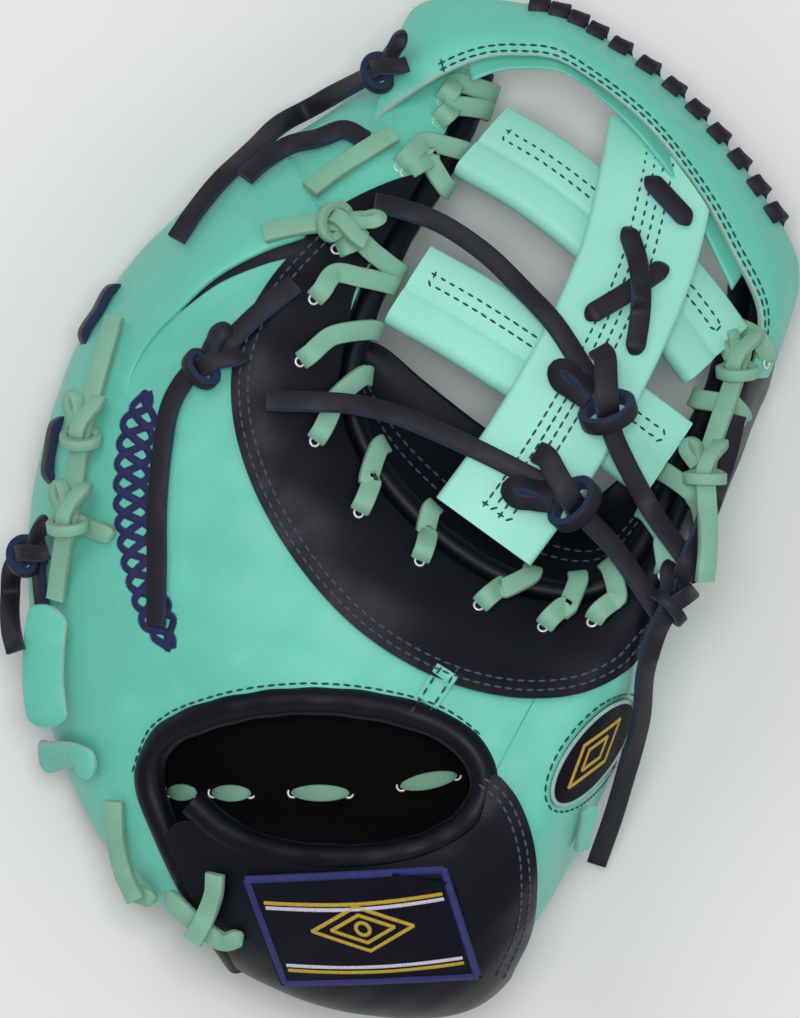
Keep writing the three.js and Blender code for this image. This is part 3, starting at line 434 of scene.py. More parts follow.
def sweep_arrays(points, ups, section, scale=None, closed=False):
    """Rings of a section along a line, square to it, with one side up."""
    along = closed_tangents(points) if closed else tangents(points)
    side = unit(np.cross(along, ups))
    top = unit(np.cross(side, along))
    size = np.ones((len(points), 2)) if scale is None else np.asarray(scale)
    x = section[None, :, 0] * size[:, 0:1]
    y = section[None, :, 1] * size[:, 1:2]
    return points[:, None, :] + x[..., None] * side[:, None, :] + y[..., None] * top[:, None, :]


def tube_faces(rings, around, start=0, closed=False):
    faces, kinds = [], []
    turns = rings if closed else rings - 1
    for i in range(turns):
        here = start + i * around
        after = start + (i + 1) % rings * around
        for j in range(around):
            k = (j + 1) % around
            faces.append([here + j, here + k, after + k, after + j])
            kinds.append(j)
    if not closed:
        faces.append([start + j for j in range(around)][::-1])
        faces.append([start + (rings - 1) * around + j for j in range(around)])
        kinds += [-1, -1]
    return faces, kinds


def sweep(name, parts, section, materials, top_sides=(), sharp=50):
    """One mesh of a section swept along lines. top_sides are the sides that take the first material."""
    vertices, faces, indices = [], [], []
    start = 0
    for part in parts:
        closed = part.get("closed", False)
        rings = sweep_arrays(part["points"], part["ups"], section, part.get("scale"), closed)
        rings[..., 2] = np.maximum(rings[..., 2], 0.0)
        count, around = rings.shape[:2]
        new, kinds = tube_faces(count, around, start, closed)
        vertices.append(rings.reshape(-1, 3))
        faces += new
        indices += [0 if (k in top_sides or not top_sides) else len(materials) - 1 for k in kinds]
        start += count * around
    obj = mesh_object(name, np.vstack(vertices), faces, materials, indices, sharp)
    outward(obj)
    return obj


def round_section(radius, sides=16):
    turn = 2 * math.pi * np.arange(sides) / sides
    return np.stack([radius * np.cos(turn), radius * np.sin(turn)], axis=1)


def lace_section(width, thickness, corner=0.62):
    """A flat section with round corners. Its top sides come first."""
    w, h = width / 2, thickness / 2
    corners = []
    middles = [(w - corner, h - corner, 0), (corner - w, h - corner, 90), (corner - w, corner - h, 180),
               (w - corner, corner - h, 270)]
    for cx, cy, begin in middles:
        for turn in (10, 45, 80):
            a = math.radians(begin + turn)
            corners.append([cx + corner * math.cos(a), cy + corner * math.sin(a)])
    return np.array(corners)


TOP_SIDES = (1, 2, 3)  # the sides of a lace section that face up, between the corners' second points


# What lies under a place.
class Ground:
    """The highest surface under a place, among what has been added, or the floor."""

    def __init__(self):
        self.trees = []

    def add(self, obj):
        mesh = obj.data
        co = np.empty(len(mesh.vertices) * 3)
        mesh.vertices.foreach_get("co", co)
        polygons = [tuple(p.vertices) for p in mesh.polygons]
        self.trees.append(BVHTree.FromPolygons((co.reshape(-1, 3) / MM).tolist(), polygons))
        return obj

    def up(self, x, y, floor=0.0, top=400.0):
        best, normal = floor, Vector((0, 0, 1))
        for tree in self.trees:
            hit, way, _, _ = tree.ray_cast((x, y, top), (0, 0, -1))
            if hit is not None and hit[2] > best:
                best, normal = hit[2], way
        return best, normal


ground = Ground()


def draped(line, step=1.0, lift=0.3):
    """A plan line laid on the leather: its points and the way the leather faces."""
    flat = smooth(line, step)
    points, ways = [], []
    for x, y in flat[:, :2]:
        height, way = ground.up(x, y)
        points.append([x, y, height])
        ways.append(list(way) if way[2] > 0 else [-v for v in way])
    ways = blurred(np.array(ways), 2)
    points = np.array(points)
    points[:, 2] = blurred(points[:, 2:3], 1)[:, 0]
    return points + unit(ways) * lift, unit(ways)


def blurred(rows, radius):
    if radius < 1:
        return rows
    kernel = np.exp(-0.5 * (np.arange(-3 * radius, 3 * radius + 1) / radius) ** 2)
    kernel /= kernel.sum()
    padded = np.pad(rows, ((3 * radius, 3 * radius), (0, 0)), mode="edge")
    return np.stack([np.convolve(padded[:, k], kernel, "valid") for k in range(rows.shape[1])], axis=1)


# Finishes.
def linear(code):
    """A screen colour as the numbers that a shader takes."""
    parts = [int(code[i:i + 2], 16) / 255 for i in (1, 3, 5)]
    return tuple(p / 12.92 if p <= 0.04045 else ((p + 0.055) / 1.055) ** 2.4 for p in parts)


class Field:
    """A shader value that can be reckoned with."""

    def __init__(self, finish, socket):
        self.finish, self.socket = finish, socket

    def math(self, operation, *values):
        return self.finish.node("ShaderNodeMath", {"operation": operation}, values)

    def __add__(self, other):
        return self.math("ADD", self, other)

    def __sub__(self, other):
        return self.math("SUBTRACT", self, other)

    def __rsub__(self, other):
        return self.math("SUBTRACT", other, self)

    def __mul__(self, other):
        return self.math("MULTIPLY", self, other)

    __radd__ = __add__
    __rmul__ = __mul__

    def sine(self):
        return self.math("SINE", self)

    def ramp(self, low, high):
        return self.finish.node("ShaderNodeMapRange", {"interpolation_type": "SMOOTHSTEP"}, [self, low, high])


class Finish:
    """A material's nodes."""

    def __init__(self, name):
        self.material = bpy.data.materials.new(name)
        self.material.use_nodes = True
        self.nodes = self.material.node_tree.nodes
        self.links = self.material.node_tree.links
        self.nodes.clear()

    def node(self, kind, settings=None, values=(), output=0):
        """Any node, from its type, its settings and what its sockets take."""
        made = self.nodes.new(kind)
        for key, value in (settings or {}).items():
            setattr(made, key, value)
        pairs = values.items() if isinstance(values, dict) else enumerate(values)
        for key, value in pairs:
            if isinstance(value, Field):
                self.links.new(value.socket, made.inputs[key])
            elif value is not None:
                made.inputs[key].default_value = value
        return Field(self, made.outputs[output]) if len(made.outputs) else made

    def places(self):
        return self.node("ShaderNodeTexCoord", output="Object")

    def noise(self, at, scale, detail=2.0):
        return self.node("ShaderNodeTexNoise", values={"Vector": at, "Scale": scale, "Detail": detail})

    def blend(self, share, first, second):
        colours = [c if isinstance(c, Field) else (*c, 1) for c in (first, second)]
        settings = {"data_type": "RGBA"}
        return self.node("ShaderNodeMix", settings, {0: share, 6: colours[0], 7: colours[1]}, output=2)

    def relief(self, height, depth):
        return self.node("ShaderNodeBump", values={"Height": height, "Distance": depth, "Strength": 1.0})

    def finish(self, **sockets):
        names = {key.replace("_", " "): value for key, value in sockets.items()}
        shader = self.node("ShaderNodeBsdfPrincipled", values=names)
        self.node("ShaderNodeOutputMaterial", values={"Surface": shader})
        return self.material


def shaded(colour, share):
    return tuple(max(0.0, min(1.0, c * share)) for c in colour)


PEBBLES = 1300.0  # the leather's pebbles to a metre
PEBBLE_STRAY = 0.0006


def leather_finish(name, colour, grain, rough=0.46, coat=0.06, spread=0.05, shine=0.36):
    """Smooth hide: slow drifts of colour, fine pores and faint creases between its pebbles."""
    f = Finish(name)
    at = f.places()
    broad, worn, fine = f.noise(at, 22, 3), f.noise(at, 75, 4), f.noise(at, 2600, 2)
    stray = f.node("ShaderNodeTexNoise", values={"Vector": at, "Scale": 300.0}, output="Color")
    bent = f.node("ShaderNodeVectorMath", {"operation": "MULTIPLY_ADD"}, [stray, (PEBBLE_STRAY,) * 3, at])
    edges = {"feature": "DISTANCE_TO_EDGE"}
    cells = f.node("ShaderNodeTexVoronoi", edges, {"Vector": bent, "Scale": PEBBLES})
    pebble = cells.ramp(0.0, 0.25)
    hue = f.blend(broad.ramp(0.3, 0.72), shaded(colour, 1 - spread), shaded(colour, 1 + spread))
    hue = f.blend(worn.ramp(0.5, 0.85), hue, shaded(colour, 1 + 2 * spread))
    hue = f.blend(pebble, f.blend(0.08, hue, shaded(colour, 0.5)), hue)
    gloss = broad * 0.08 + worn * 0.08 + fine * 0.05 + (rough - 0.1)
    return f.finish(
        Base_Color=hue, Roughness=gloss, Normal=f.relief((pebble + fine) * 0.5, grain), Coat_Weight=coat,
        Coat_Roughness=0.35, Sheen_Weight=0.02, Sheen_Roughness=0.4, Specular_IOR_Level=shine,
    )


NAP = 0.0003


def suede_finish(name, colour):
    """The flesh side and the cut edges of hide."""
    f = Finish(name)
    at = f.places()
    broad, fine = f.noise(at, 90, 3), f.noise(at, 1900, 3)
    hue = f.blend(broad.ramp(0.3, 0.7), shaded(colour, 0.84), shaded(colour, 1.12))
    hue = f.blend(fine.ramp(0.35, 0.7), shaded(colour, 0.8), hue)
    return f.finish(
        Base_Color=hue, Roughness=fine * 0.1 + 0.86, Normal=f.relief(fine, NAP), Sheen_Weight=0.08,
        Sheen_Roughness=0.5, Specular_IOR_Level=0.2,
    )


def thread_finish(name, colour, gloss=0.5):
    """Twisted thread."""
    f = Finish(name)
    at = f.places()
    twist = f.noise(at, 3200, 1)
    hue = f.blend(twist.ramp(0.3, 0.7), shaded(colour, 0.7), shaded(colour, 1.15))
    return f.finish(
        Base_Color=hue, Roughness=twist * 0.12 + gloss, Normal=f.relief(twist, 0.00012), Sheen_Weight=0.05,
        Specular_IOR_Level=0.3,
    )


def twill_finish(name, colour):
    """Close-woven cloth with slanting ribs."""
    f = Finish(name)
    at = f.places()
    x, y = (f.node("ShaderNodeSeparateXYZ", values=[at], output=axis) for axis in ("X", "Y"))
    rib = (x * 5200 + y * 7400).sine() * 0.5 + 0.5
    weft = (x * 8800 - y * 3100).sine() * 0.25 + 0.25
    hue = f.blend(rib, shaded(colour, 0.55), shaded(colour, 1.25))
    return f.finish(
        Base_Color=hue, Roughness=f.noise(at, 400) * 0.1 + 0.82, Normal=f.relief(rib + weft, 0.00016),
        Sheen_Weight=0.03, Specular_IOR_Level=0.15,
    )


def eyelet_finish(name, colour):
    """Pale rims of the lace holes, partly eyelets and partly a painted glint of light at each hole."""
    f = Finish(name)
    fine = f.noise(f.places(), 900, 2)
    hue = f.blend(fine, shaded(colour, 0.85), colour)
    return f.finish(Base_Color=hue, Roughness=fine * 0.2 + 0.25, Metallic=0.4)


def floor_finish(name, colour):
    f = Finish(name)
    at = f.places()
    soft = f.noise(at, 3, 2)
    return f.finish(Base_Color=f.blend(soft, shaded(colour, 0.985), colour), Roughness=soft * 0.04 + 0.9,
                    Specular_IOR_Level=0.1)


# What a user may change.
def size_prop(name, description, default):
    return bpy.props.FloatProperty(
        name=name, description=description, default=default, min=0.0, unit="LENGTH",
    )


def colour_prop(name, description, code):
    return bpy.props.FloatVectorProperty(
        name=name, description=description, default=linear(code), size=3, min=0.0, max=1.0, subtype="COLOR",
    )


class MITT_PG_sizes(bpy.types.PropertyGroup):
    """Sizes of laces and stitches."""

    lace_width: size_prop("Lace width", "Width of every lace", 0.0064)
    lace_thickness: size_prop("Lace thickness", "Thickness of every lace", 0.0026)
    whip_stand: size_prop("Whip stand", "How far a whip stands off the leather", 0.0004)
    stitch_length: size_prop("Stitch length", "Visible length of a stitch in leather", 0.0028)
    stitch_spacing: size_prop("Stitch spacing", "From one stitch to the next", 0.0034)
    thread_width: size_prop("Thread width", "Width of the sewing thread", 0.0008)
    satin_spacing: size_prop("Satin spacing", "From one embroidery thread to the next", 0.00042)
    grain_depth: size_prop("Grain depth", "Depth of the creases in the hide", 0.00004)


class MITT_PG_colours(bpy.types.PropertyGroup):
    """Colours of the leathers, laces and threads."""

    mint: colour_prop("Mint leather", "Back and pocket", "#68c8b4")
    # Lighter than the mint leather: this paints the light that falls on the bars and post, and partly stands
    # for their smoother leather.
    web: colour_prop("Web leather", "Bars and post", "#98e2cf")
    mint_edge: colour_prop("Mint cut edge", "Cut edges of the mint leather", "#a3c9bd")
    navy: colour_prop("Navy leather", "Crescent, rolls and strap", "#0b0e18")
    navy_edge: colour_prop("Navy cut edge", "Cut edges of the navy leather", "#1c2238")
    lining: colour_prop("Lining", "Inside of the hand opening", "#08080b")
    mint_lace: colour_prop("Mint lace", "Smooth side of the mint laces", "#80b49c")
    mint_suede: colour_prop("Mint lace sides", "Flesh side of the mint laces", "#86b096")
    navy_lace: colour_prop("Navy lace", "Smooth side of the navy laces", "#1b1a24")
    navy_suede: colour_prop("Navy lace sides", "Flesh side of the navy laces", "#263655")
    thread_dark: colour_prop("Dark thread", "Stitches on the mint leather", "#14494a")
    thread_navy: colour_prop("Navy thread", "Stitches on the navy leather", "#474a66")
    cloth: colour_prop("Patch cloth", "Ground of the patch and the badge", "#0c0c1c")
    border: colour_prop("Patch border", "Whipped edge of the patch", "#2d2f72")
    gold: colour_prop("Gold thread", "Motifs and stripes", "#c0a33a")
    white: colour_prop("White thread", "Stripes", "#cfcbdc")
    braid: colour_prop("Braid thread", "Braid on the finger side", "#23245a")
    # Pale rims of the lace holes: partly eyelets, partly a painted glint of light.
    eyelet: colour_prop("Eyelets", "Rims of the lace holes", "#dfe2e4")
    floor: colour_prop("Floor", "Floor and backdrop", "#ebebeb")


FINISHES = {}


def make_finishes(scene):
    colours, grain = scene.mitt_colours, scene.mitt_sizes.grain_depth
    FINISHES.update(
        mint=leather_finish("mint_hide", colours.mint, grain),
        # The web's lighter hide holds painted light on the bars and post.
        web=leather_finish("web_hide_painted_light", colours.web, grain, spread=0.03),
        mint_edge=suede_finish("mint_cut_edge", colours.mint_edge),
        navy=leather_finish("navy_hide", colours.navy, grain, rough=0.4, coat=0.03, spread=0.2, shine=0.15),
        navy_edge=suede_finish("navy_cut_edge", colours.navy_edge),
        lining=leather_finish("lining_hide", colours.lining, grain, 0.75, coat=0, spread=0.2, shine=0.1),
        mint_lace=leather_finish("mint_lace_top", colours.mint_lace, grain * 1.5, rough=0.62, coat=0),
        mint_suede=suede_finish("mint_lace_side", colours.mint_suede),
        navy_lace=leather_finish(
            "navy_lace_top", colours.navy_lace, grain * 1.5, rough=0.5, coat=0.03, shine=0.25,
        ),
        navy_suede=suede_finish("navy_lace_side", colours.navy_suede),
        thread_dark=thread_finish("dark_thread", colours.thread_dark),
        thread_navy=thread_finish("navy_thread", colours.thread_navy),
        # Pale hole rims that paint a glint of light at each lace hole.
        eyelet=eyelet_finish("hole_glint_rims", colours.eyelet),
        cloth=twill_finish("patch_twill", colours.cloth),
        border=thread_finish("border_thread", colours.border, 0.42),
        gold=thread_finish("gold_thread", colours.gold, 0.34),
        white=thread_finish("white_thread", colours.white, 0.42),
        braid=thread_finish("braid_thread", colours.braid, 0.4),
        floor=floor_finish("floor_paper", colours.floor),
    )


# Stitches.
def stitch_tree():
    """Threads set in a row along each line, at even steps, each facing away from the leather."""
    tree = bpy.data.node_groups.new("stitch_row", "GeometryNodeTree")
    sockets = [
        ("Lines", "NodeSocketGeometry"), ("Spacing", "NodeSocketFloat"), ("Length", "NodeSocketFloat"),
        ("Width", "NodeSocketFloat"), ("Height", "NodeSocketFloat"), ("Turn", "NodeSocketFloat"),
        ("Thread", "NodeSocketMaterial"),
    ]
    for name, kind in sockets:
        tree.interface.new_socket(name, in_out="INPUT", socket_type=kind)
    tree.interface.new_socket("Stitches", in_out="OUTPUT", socket_type="NodeSocketGeometry")
    link = tree.links.new

    def node(kind, settings=None, values=None):
        made = tree.nodes.new(kind)
        for key, value in (settings or {}).items():
            setattr(made, key, value)
        for key, value in (values or {}).items():
            if isinstance(value, bpy.types.NodeSocket):
                link(value, made.inputs[key])
            else:
                made.inputs[key].default_value = value
        return made

    given = node("NodeGroupInput").outputs
    curve = node("GeometryNodeMeshToCurve", None, {"Mesh": given["Lines"]})
    spaced = node("GeometryNodeResampleCurve", {"mode": "LENGTH"}, {
        "Curve": curve.outputs[0], "Length": given["Spacing"],
    })
    up = node("GeometryNodeInputNamedAttribute", {"data_type": "FLOAT_VECTOR"}, {"Name": "up"})
    along = node("GeometryNodeInputTangent")
    upright = node("FunctionNodeAlignRotationToVector", {"axis": "Z"}, {"Vector": up.outputs[0]})
    ahead = node("FunctionNodeAlignRotationToVector", {"axis": "X", "pivot_axis": "Z"}, {
        "Rotation": upright.outputs[0], "Vector": along.outputs[0],
    })
    stray = node("FunctionNodeRandomValue", {"data_type": "FLOAT"}, {2: -0.05, 3: 0.05, "Seed": 7})
    angle = node("ShaderNodeMath", {"operation": "ADD"}, {0: given["Turn"], 1: stray.outputs[1]})
    turn = node("FunctionNodeAxisAngleToRotation", None, {"Axis": (0, 0, 1), "Angle": angle.outputs[0]})
    turned = node("FunctionNodeRotateRotation", {"rotation_space": "LOCAL"}, {
        0: ahead.outputs[0], 1: turn.outputs[0],
    })
    size = node("ShaderNodeCombineXYZ", None, {0: given["Length"], 1: given["Width"], 2: given["Height"]})
    thread = node("GeometryNodeMeshUVSphere", None, {"Segments": 8, "Rings": 5, "Radius": 0.5})
    placed = node("GeometryNodeInstanceOnPoints", None, {
        "Points": spaced.outputs[0], "Instance": thread.outputs[0], "Rotation": turned.outputs[0],
        "Scale": size.outputs[0],
    })
    real = node("GeometryNodeRealizeInstances", None, {0: placed.outputs[0]})
    smoothed = node("GeometryNodeSetShadeSmooth", None, {0: real.outputs[0]})
    coloured = node("GeometryNodeSetMaterial", None, {0: smoothed.outputs[0], "Material": given["Thread"]})
    link(coloured.outputs[0], node("NodeGroupOutput").inputs[0])
    return tree


TREES = {}


def threads(name, lines, material, spacing, length, width, height, turn=0.0, lift=0.0):
    """One mesh of threads along lines. Each line is its points and the way that it faces, in millimetres."""
    if "stitch_row" not in TREES:
        TREES["stitch_row"] = stitch_tree()
    tree = TREES["stitch_row"]
    vertices, edges, ups = [], [], []
    for points, ways in lines:
        start = len(vertices)
        vertices += ((points + unit(ways) * lift) * MM).tolist()
        ups += unit(ways).tolist()
        edges += [(start + i, start + i + 1) for i in range(len(points) - 1)]
    mesh = bpy.data.meshes.new(name)
    mesh.from_pydata(vertices, edges, [])
    mesh.attributes.new("up", "FLOAT_VECTOR", "POINT").data.foreach_set("vector", np.array(ups).ravel())
    obj = bpy.data.objects.new(name, mesh)
    bpy.context.scene.collection.objects.link(obj)
    modifier = obj.modifiers.new("stitches", "NODES")
    modifier.node_group = tree
    values = {"Spacing": spacing, "Length": length, "Width": width, "Height": height, "Turn": turn,
              "Thread": material}
    for item in tree.interface.items_tree:
        if item.in_out == "INPUT" and item.name in values:
            modifier[item.identifier] = values[item.name]
    return applied(obj, sharp=0)


STITCH_LIFT = 0.1
SATIN_LIFT = 0.15
SATIN_HEIGHT = 0.0007
SATIN_SLANT = 0.12


def leather_stitches(name, lines, material):
    """Sewing thread in even stitches along each line."""
    s = bpy.context.scene.mitt_sizes
    return threads(name, lines, material, s.stitch_spacing, s.stitch_length, s.thread_width,
                   s.thread_width * 0.8, lift=STITCH_LIFT)


def satin(name, lines, material, width):
    """Embroidery: threads laid side by side across each line."""
    s = bpy.context.scene.mitt_sizes
    return threads(name, lines, material, s.satin_spacing, width * MM, s.satin_spacing * 1.5, SATIN_HEIGHT,
                   math.pi / 2 + SATIN_SLANT, SATIN_LIFT)


def done(obj, slot, *nodes):
    """Rides the mitt's body and stands for its solids. Its finish slot is not used."""
    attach(obj, "root")
    if nodes:
        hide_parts(*nodes)
    return obj


# Outlines and routes.
OPENING = places([
    [28.5, 97], [23.8, 88.4], [19.8, 81.8], [17.8, 76], [20, 71.6], [27.2, 69], [37.5, 67.8], [47.8, 68.4],
    [55.4, 70.2], [60.2, 73], [62.4, 76.6], [64.5, 81], [64.8, 86], [63.5, 92], [60.5, 102], [31, 102],
])
BINDING = places([
    [29.8, 94.6], [24.8, 88], [20.8, 81.5], [18.8, 76], [20.8, 72.3], [27.5, 69.8], [37.5, 68.6],
    [47.5, 69.2],
    [54.8, 70.9], [59, 73.4], [60.4, 76.4], [59, 79.6], [55, 82], [48.8, 83.5], [41.3, 83.9], [33.8, 83.2],
    [28, 81.2], [24.2, 78.6],
])
STRAP_OUTLINE = places([
    [23.2, 80.4], [28, 81.9], [33.8, 83.9], [41.3, 84.7], [48.8, 84.3], [55, 82.8], [59.6, 80.2],
    [61.4, 75.6],
    [64, 77.4], [66.2, 81.4], [67, 86.2], [66.4, 91.4], [64, 96], [62, 102], [32, 102], [29.4, 95],
    [24.4, 87.8], [20.9, 81.9],
])
CRESCENT_BORDER = places([
    [42.5, 20.4], [36.4, 25.2], [33.4, 28.2], [30.4, 32.6], [29.2, 36.6], [29.4, 41.4], [31.2, 46.6],
    [34.4, 51.8], [39.2, 57.2], [45, 61.8], [51.6, 65.2], [58.6, 67.4], [66, 68.3], [72.8, 67.7],
    [78.2, 65.6],
    [82, 62.6], [86, 62],
])
CRESCENT_REST = places([[102, 48], [102, 20], [90, 20], [84, 44], [70, 56], [48, 46], [44, 30], [53, 17.4]])
PATCH = places([[30.4, 85.8], [55.9, 84.5], [60.2, 95.6], [35.2, 96.6]])
BADGE_CENTRE = place(74, 73.7)
BADGE = {"length": 41.0, "width": 16.5, "turn": math.radians(52)}
SEAM_STRIP = places([[55.9, 65.6], [52.7, 69.4]])
RIM_LOW = 30.0
LIP_HEIGHT = 3.0
LIP_RADIUS = 1.8
SLIVER_WIDTH = 6.5
SLIVER_END = 1.0
OVERLAY_LOW = CLEARANCE
OVERLAY_HIGH = OVERLAY_LOW + OVERLAY
STRAP_HIGH = CLEARANCE + STRAP
PATCH_LOW = STRAP_HIGH + CLEARANCE


OUTLINE_STEP = 1.6
UNDER_LEATHER = -0.6


def closed_outline(points):
    return smooth(points, OUTLINE_STEP, closed=True)[:-1]


def shares(start, end, count, edge=0.012):
    """Shares from start to end, closer together at both ends for a rounded edge."""
    near = np.array([0, 0.12, 0.35, 0.65, 1.0]) * edge * (end - start)
    middle = np.linspace(start + near[-1], end - near[-1], count)
    return np.concatenate([start + near[:-1], middle, (end - near[:-1])[::-1]])


def skin(name, low, high, t, s, material, edge, count=(220, 70), radius=0.9):
    """A layer of leather that follows the back."""
    return layer(name, raised(back_face, high), raised(back_face, low), shares(*t, count[0]),
                 shares(*s, count[1]), [FINISHES[material], FINISHES[edge]], 1, radius)


def beside(name, line, across, lift, material):
    """A leather laid along a plan line: how far right of it each row lies, and how high over the back."""
    flat = smooth(line, 1.0)
    right = np.cross(tangents(flat * [1, 1, 0]), UP)
    top = []
    for share, p, way in zip(np.linspace(0, 1, len(flat)), flat, right):
        row = across(share)
        room = max((part for part in np.linspace(0, 1, 25)
                    if plain_height(*(p + way * row[-1] * part)[:2]) > RIM_LOW), default=0.0)
        spots = [p + way * far * max(room, 0.05) for far in row]
        top.append([[x, y, plain_height(x, y) + lift(share, far)] for (x, y, _), far in zip(spots, row)])
    top = np.array(top)
    under = top.copy()
    rises = [[lift(share, far) for far in across(share)] for share in np.linspace(0, 1, len(flat))]
    under[..., 2] += UNDER_LEATHER - np.array(rises)
    return closed_sheet(name, top, np.minimum(under, top), [FINISHES[material]])


def offset_line(line, distance):
    """A plan line moved to its right."""
    along = tangents(line * [1, 1, 0])
    return line + np.cross(along, UP) * distance


# Pieces.
def make_stage():
    """Camera straight above, soft light and a pale floor."""
    scene = bpy.context.scene
    scene.view_settings.view_transform = "Standard"
    camera = bpy.data.cameras.new("camera")
    camera.sensor_fit = "VERTICAL"
    camera.sensor_height = 36.0
    middle, distance, mean_height = place(50, 50) * MM, 3.0, 0.055
    camera.lens = camera.sensor_height * distance / (MITT_LENGTH * MM)
    camera.clip_end = 20.0
    view = bpy.data.objects.new("camera", camera)
    view.location = (middle[0], middle[1], distance + mean_height)
    scene.collection.objects.link(view)
    scene.camera = view
    lights = [
        ("key", (-0.55, 0.75, 1.3), 0.9, 4.5), ("fill", (0.9, -0.3, 1.1), 1.2, 2.5),
        ("heel", (-0.2, -1.1, 0.8), 0.9, 1.6), ("top", (0.0, 0.1, 1.8), 0.5, 12.0),
    ]
    for name, at, size, power in lights:
        lamp = bpy.data.lights.new(name, "AREA")
        lamp.shape, lamp.size, lamp.energy = "DISK", size, power
        obj = bpy.data.objects.new(name, lamp)
        obj.location = at
        obj.rotation_euler = Vector(at).to_track_quat("Z", "Y").to_euler()
        scene.collection.objects.link(obj)
    world = bpy.data.worlds.new("studio")
    world.use_nodes = True
    background = world.node_tree.nodes["Background"]
    background.inputs["Color"].default_value = (1, 1, 1, 1)
    background.inputs["Strength"].default_value = 0.36
    scene.world = world
    size = 4000.0
    corners = [(-size, -size, 0), (size, -size, 0), (size, size, 0), (-size, size, 0)]
    mesh_object("floor", corners, [[0, 1, 2, 3]], [FINISHES["floor"]], sharp=0)


def make_hand_leathers():
    """The back's two leathers, the navy crescent and the strip over the centre seam."""
    opening = closed_outline(OPENING)
    edge = FINISHES["mint_edge"]
    finger = skin("finger_leather", -BACK_THICKNESS, 0, (0, SEAM), (0, 1), "mint", "mint_edge", radius=0.3)
    thumb = skin("thumb_leather", -BACK_THICKNESS, 0, (SEAM, 1), (0, 1), "mint", "mint_edge", (160, 70), 0.3)
    for obj, node in ((finger, "finger_back"), (thumb, "thumb_back")):
        trim(obj, opening, "DIFFERENCE", edge)
        ground.add(done(obj, "mint_leather", node))
    crescent = skin("crescent_leather", OVERLAY_LOW, OVERLAY_HIGH, (0.1, 1), (0, 0.9), "navy", "navy_edge",
                    (240, 60))
    outline = closed_outline(np.vstack([CRESCENT_BORDER, CRESCENT_REST]))
    trim(crescent, outline, "INTERSECT", FINISHES["navy_edge"])
    ground.add(done(crescent, "navy_leather", "crescent"))
    points, ways = draped(SEAM_STRIP, 1.0, 0.3)
    strip = sweep("seam_strip", [{"points": points, "ups": ways}], lace_section(8.0, 1.2, 0.4),
                  [FINISHES["mint"], FINISHES["mint_edge"]], TOP_SIDES)
    ground.add(done(strip, "mint_leather"))


def make_fold():
    """The rounded lip of the outer band, and the navy sliver that shows beneath it."""
    def lip(share, far):
        edge = min(far / LIP_RADIUS, 1.0)
        rounded = math.sqrt(1 - (1 - edge) ** 2) * math.exp(-(max(far - LIP_RADIUS, 0) / 13) ** 2)
        return LIP_HEIGHT * float(fold_fade(share)) * rounded - 0.3

    def sliver_rows(share):
        reach = max(SLIVER_WIDTH * (1 - share / SLIVER_END), 0.05)
        return np.array([-1.0, -0.94, -0.8, -0.5, -0.2, 0.0]) * reach + [0, 0, 0, 0, 0, 2.5]

    sliver = beside("fold_sliver", FOLD_LINE[:6], sliver_rows, lambda share, far: 0.4, "navy")
    ground.add(done(sliver, "navy_leather"))
    rows = np.array([0, 0.1, 0.3, 0.7, 1.2, 1.8, 2.6, 4, 6, 9, 13, 18, 24, 31])
    band = beside("outer_band_lip", FOLD_LINE, lambda share: rows, lip, "mint")
    ground.add(done(band, "mint_leather"))


def make_pocket():
    """The padded pocket and the dark lining behind the opening."""
    def floored(face):
        def go(t, s):
            at = face(t, s)
            at[..., 2] = np.maximum(at[..., 2], 0.0)
            return at
        return go

    t, s = shares(0, 1, 220), shares(0, 1, 70)
    palm = layer("pocket_leather", floored(padded_top(0)), floored(palm_face), t, s, [FINISHES["mint"]],
                 radius=1.6)
    done(palm, "mint_leather", "palm")
    edge_t, edge_s = shares(0.02, 0.98, 200), np.linspace(0.0, 0.16, 12)

    def facing_low(t, s):
        return palm_face(t, s) - normal_of(palm_face, t, s) * 1.4

    def facing_high(t, s):
        return palm_face(t, s) - normal_of(palm_face, t, s) * 0.3

    facing = layer("crotch_facing", facing_high, facing_low, edge_t, edge_s, [FINISHES["navy"]], radius=0.4)
    done(facing, "navy_leather")
    lining = layer("hand_lining", padded_top(CLEARANCE + LINING), padded_top(CLEARANCE),
                   shares(0.36, 0.72, 110), shares(0.2, 0.9, 60), [FINISHES["lining"]], radius=0.5)
    ground.add(done(lining, "hand_lining", "palm_lining"))


POCKET_EDGE = np.array([place(across, down) + UP * up for across, down, up in [
    (43.8, 33.2, 70), (47.5, 33.9, 67), (53, 37.4, 63), (59.9, 41.6, 60), (66.8, 45.4, 58), (73.6, 48.9, 58),
    (77.6, 46.9, 59), (81.9, 44.7, 58), (85.8, 43.2, 56),
]])
FACING_ENDS = places([[43.8, 33.4], [86.4, 44.4]])
FACING_SAG = 4.0
FACING_DROP = 8.0
SLOPE_THICKNESS = 2.2


def pick(line, share):
    """Places on an even line at shares of its length."""
    far = np.linspace(0, 1, len(line))
    return np.stack([np.interp(share, far, line[:, k]) for k in range(3)], axis=-1)


def share_near(line, at):
    """The share of a line that lies nearest to a plan place."""
    return float(np.argmin(np.linalg.norm((line[:, :3] - at)[:, :2], axis=1))) / (len(line) - 1)


def crotch_slope(t, s):
    """The pocket's navy leather, sloping from under the roll to its free edge below the web."""
    line = edge_line()
    begin, end = (share_near(line, at) for at in FACING_ENDS)
    outer = np.array([edge_at(share, line)[1] + edge_at(share, line)[2] * (CROTCH_ROLL + CLEARANCE)
                      - UP * FACING_DROP for share in np.linspace(begin, end, 200)])
    free = smooth(POCKET_EDGE, 1.0)
    start, finish = pick(outer, t), pick(free, t)
    at = start + (finish - start) * s[..., None]
    at[..., 2] -= FACING_SAG * np.sin(math.pi * s)
    return at


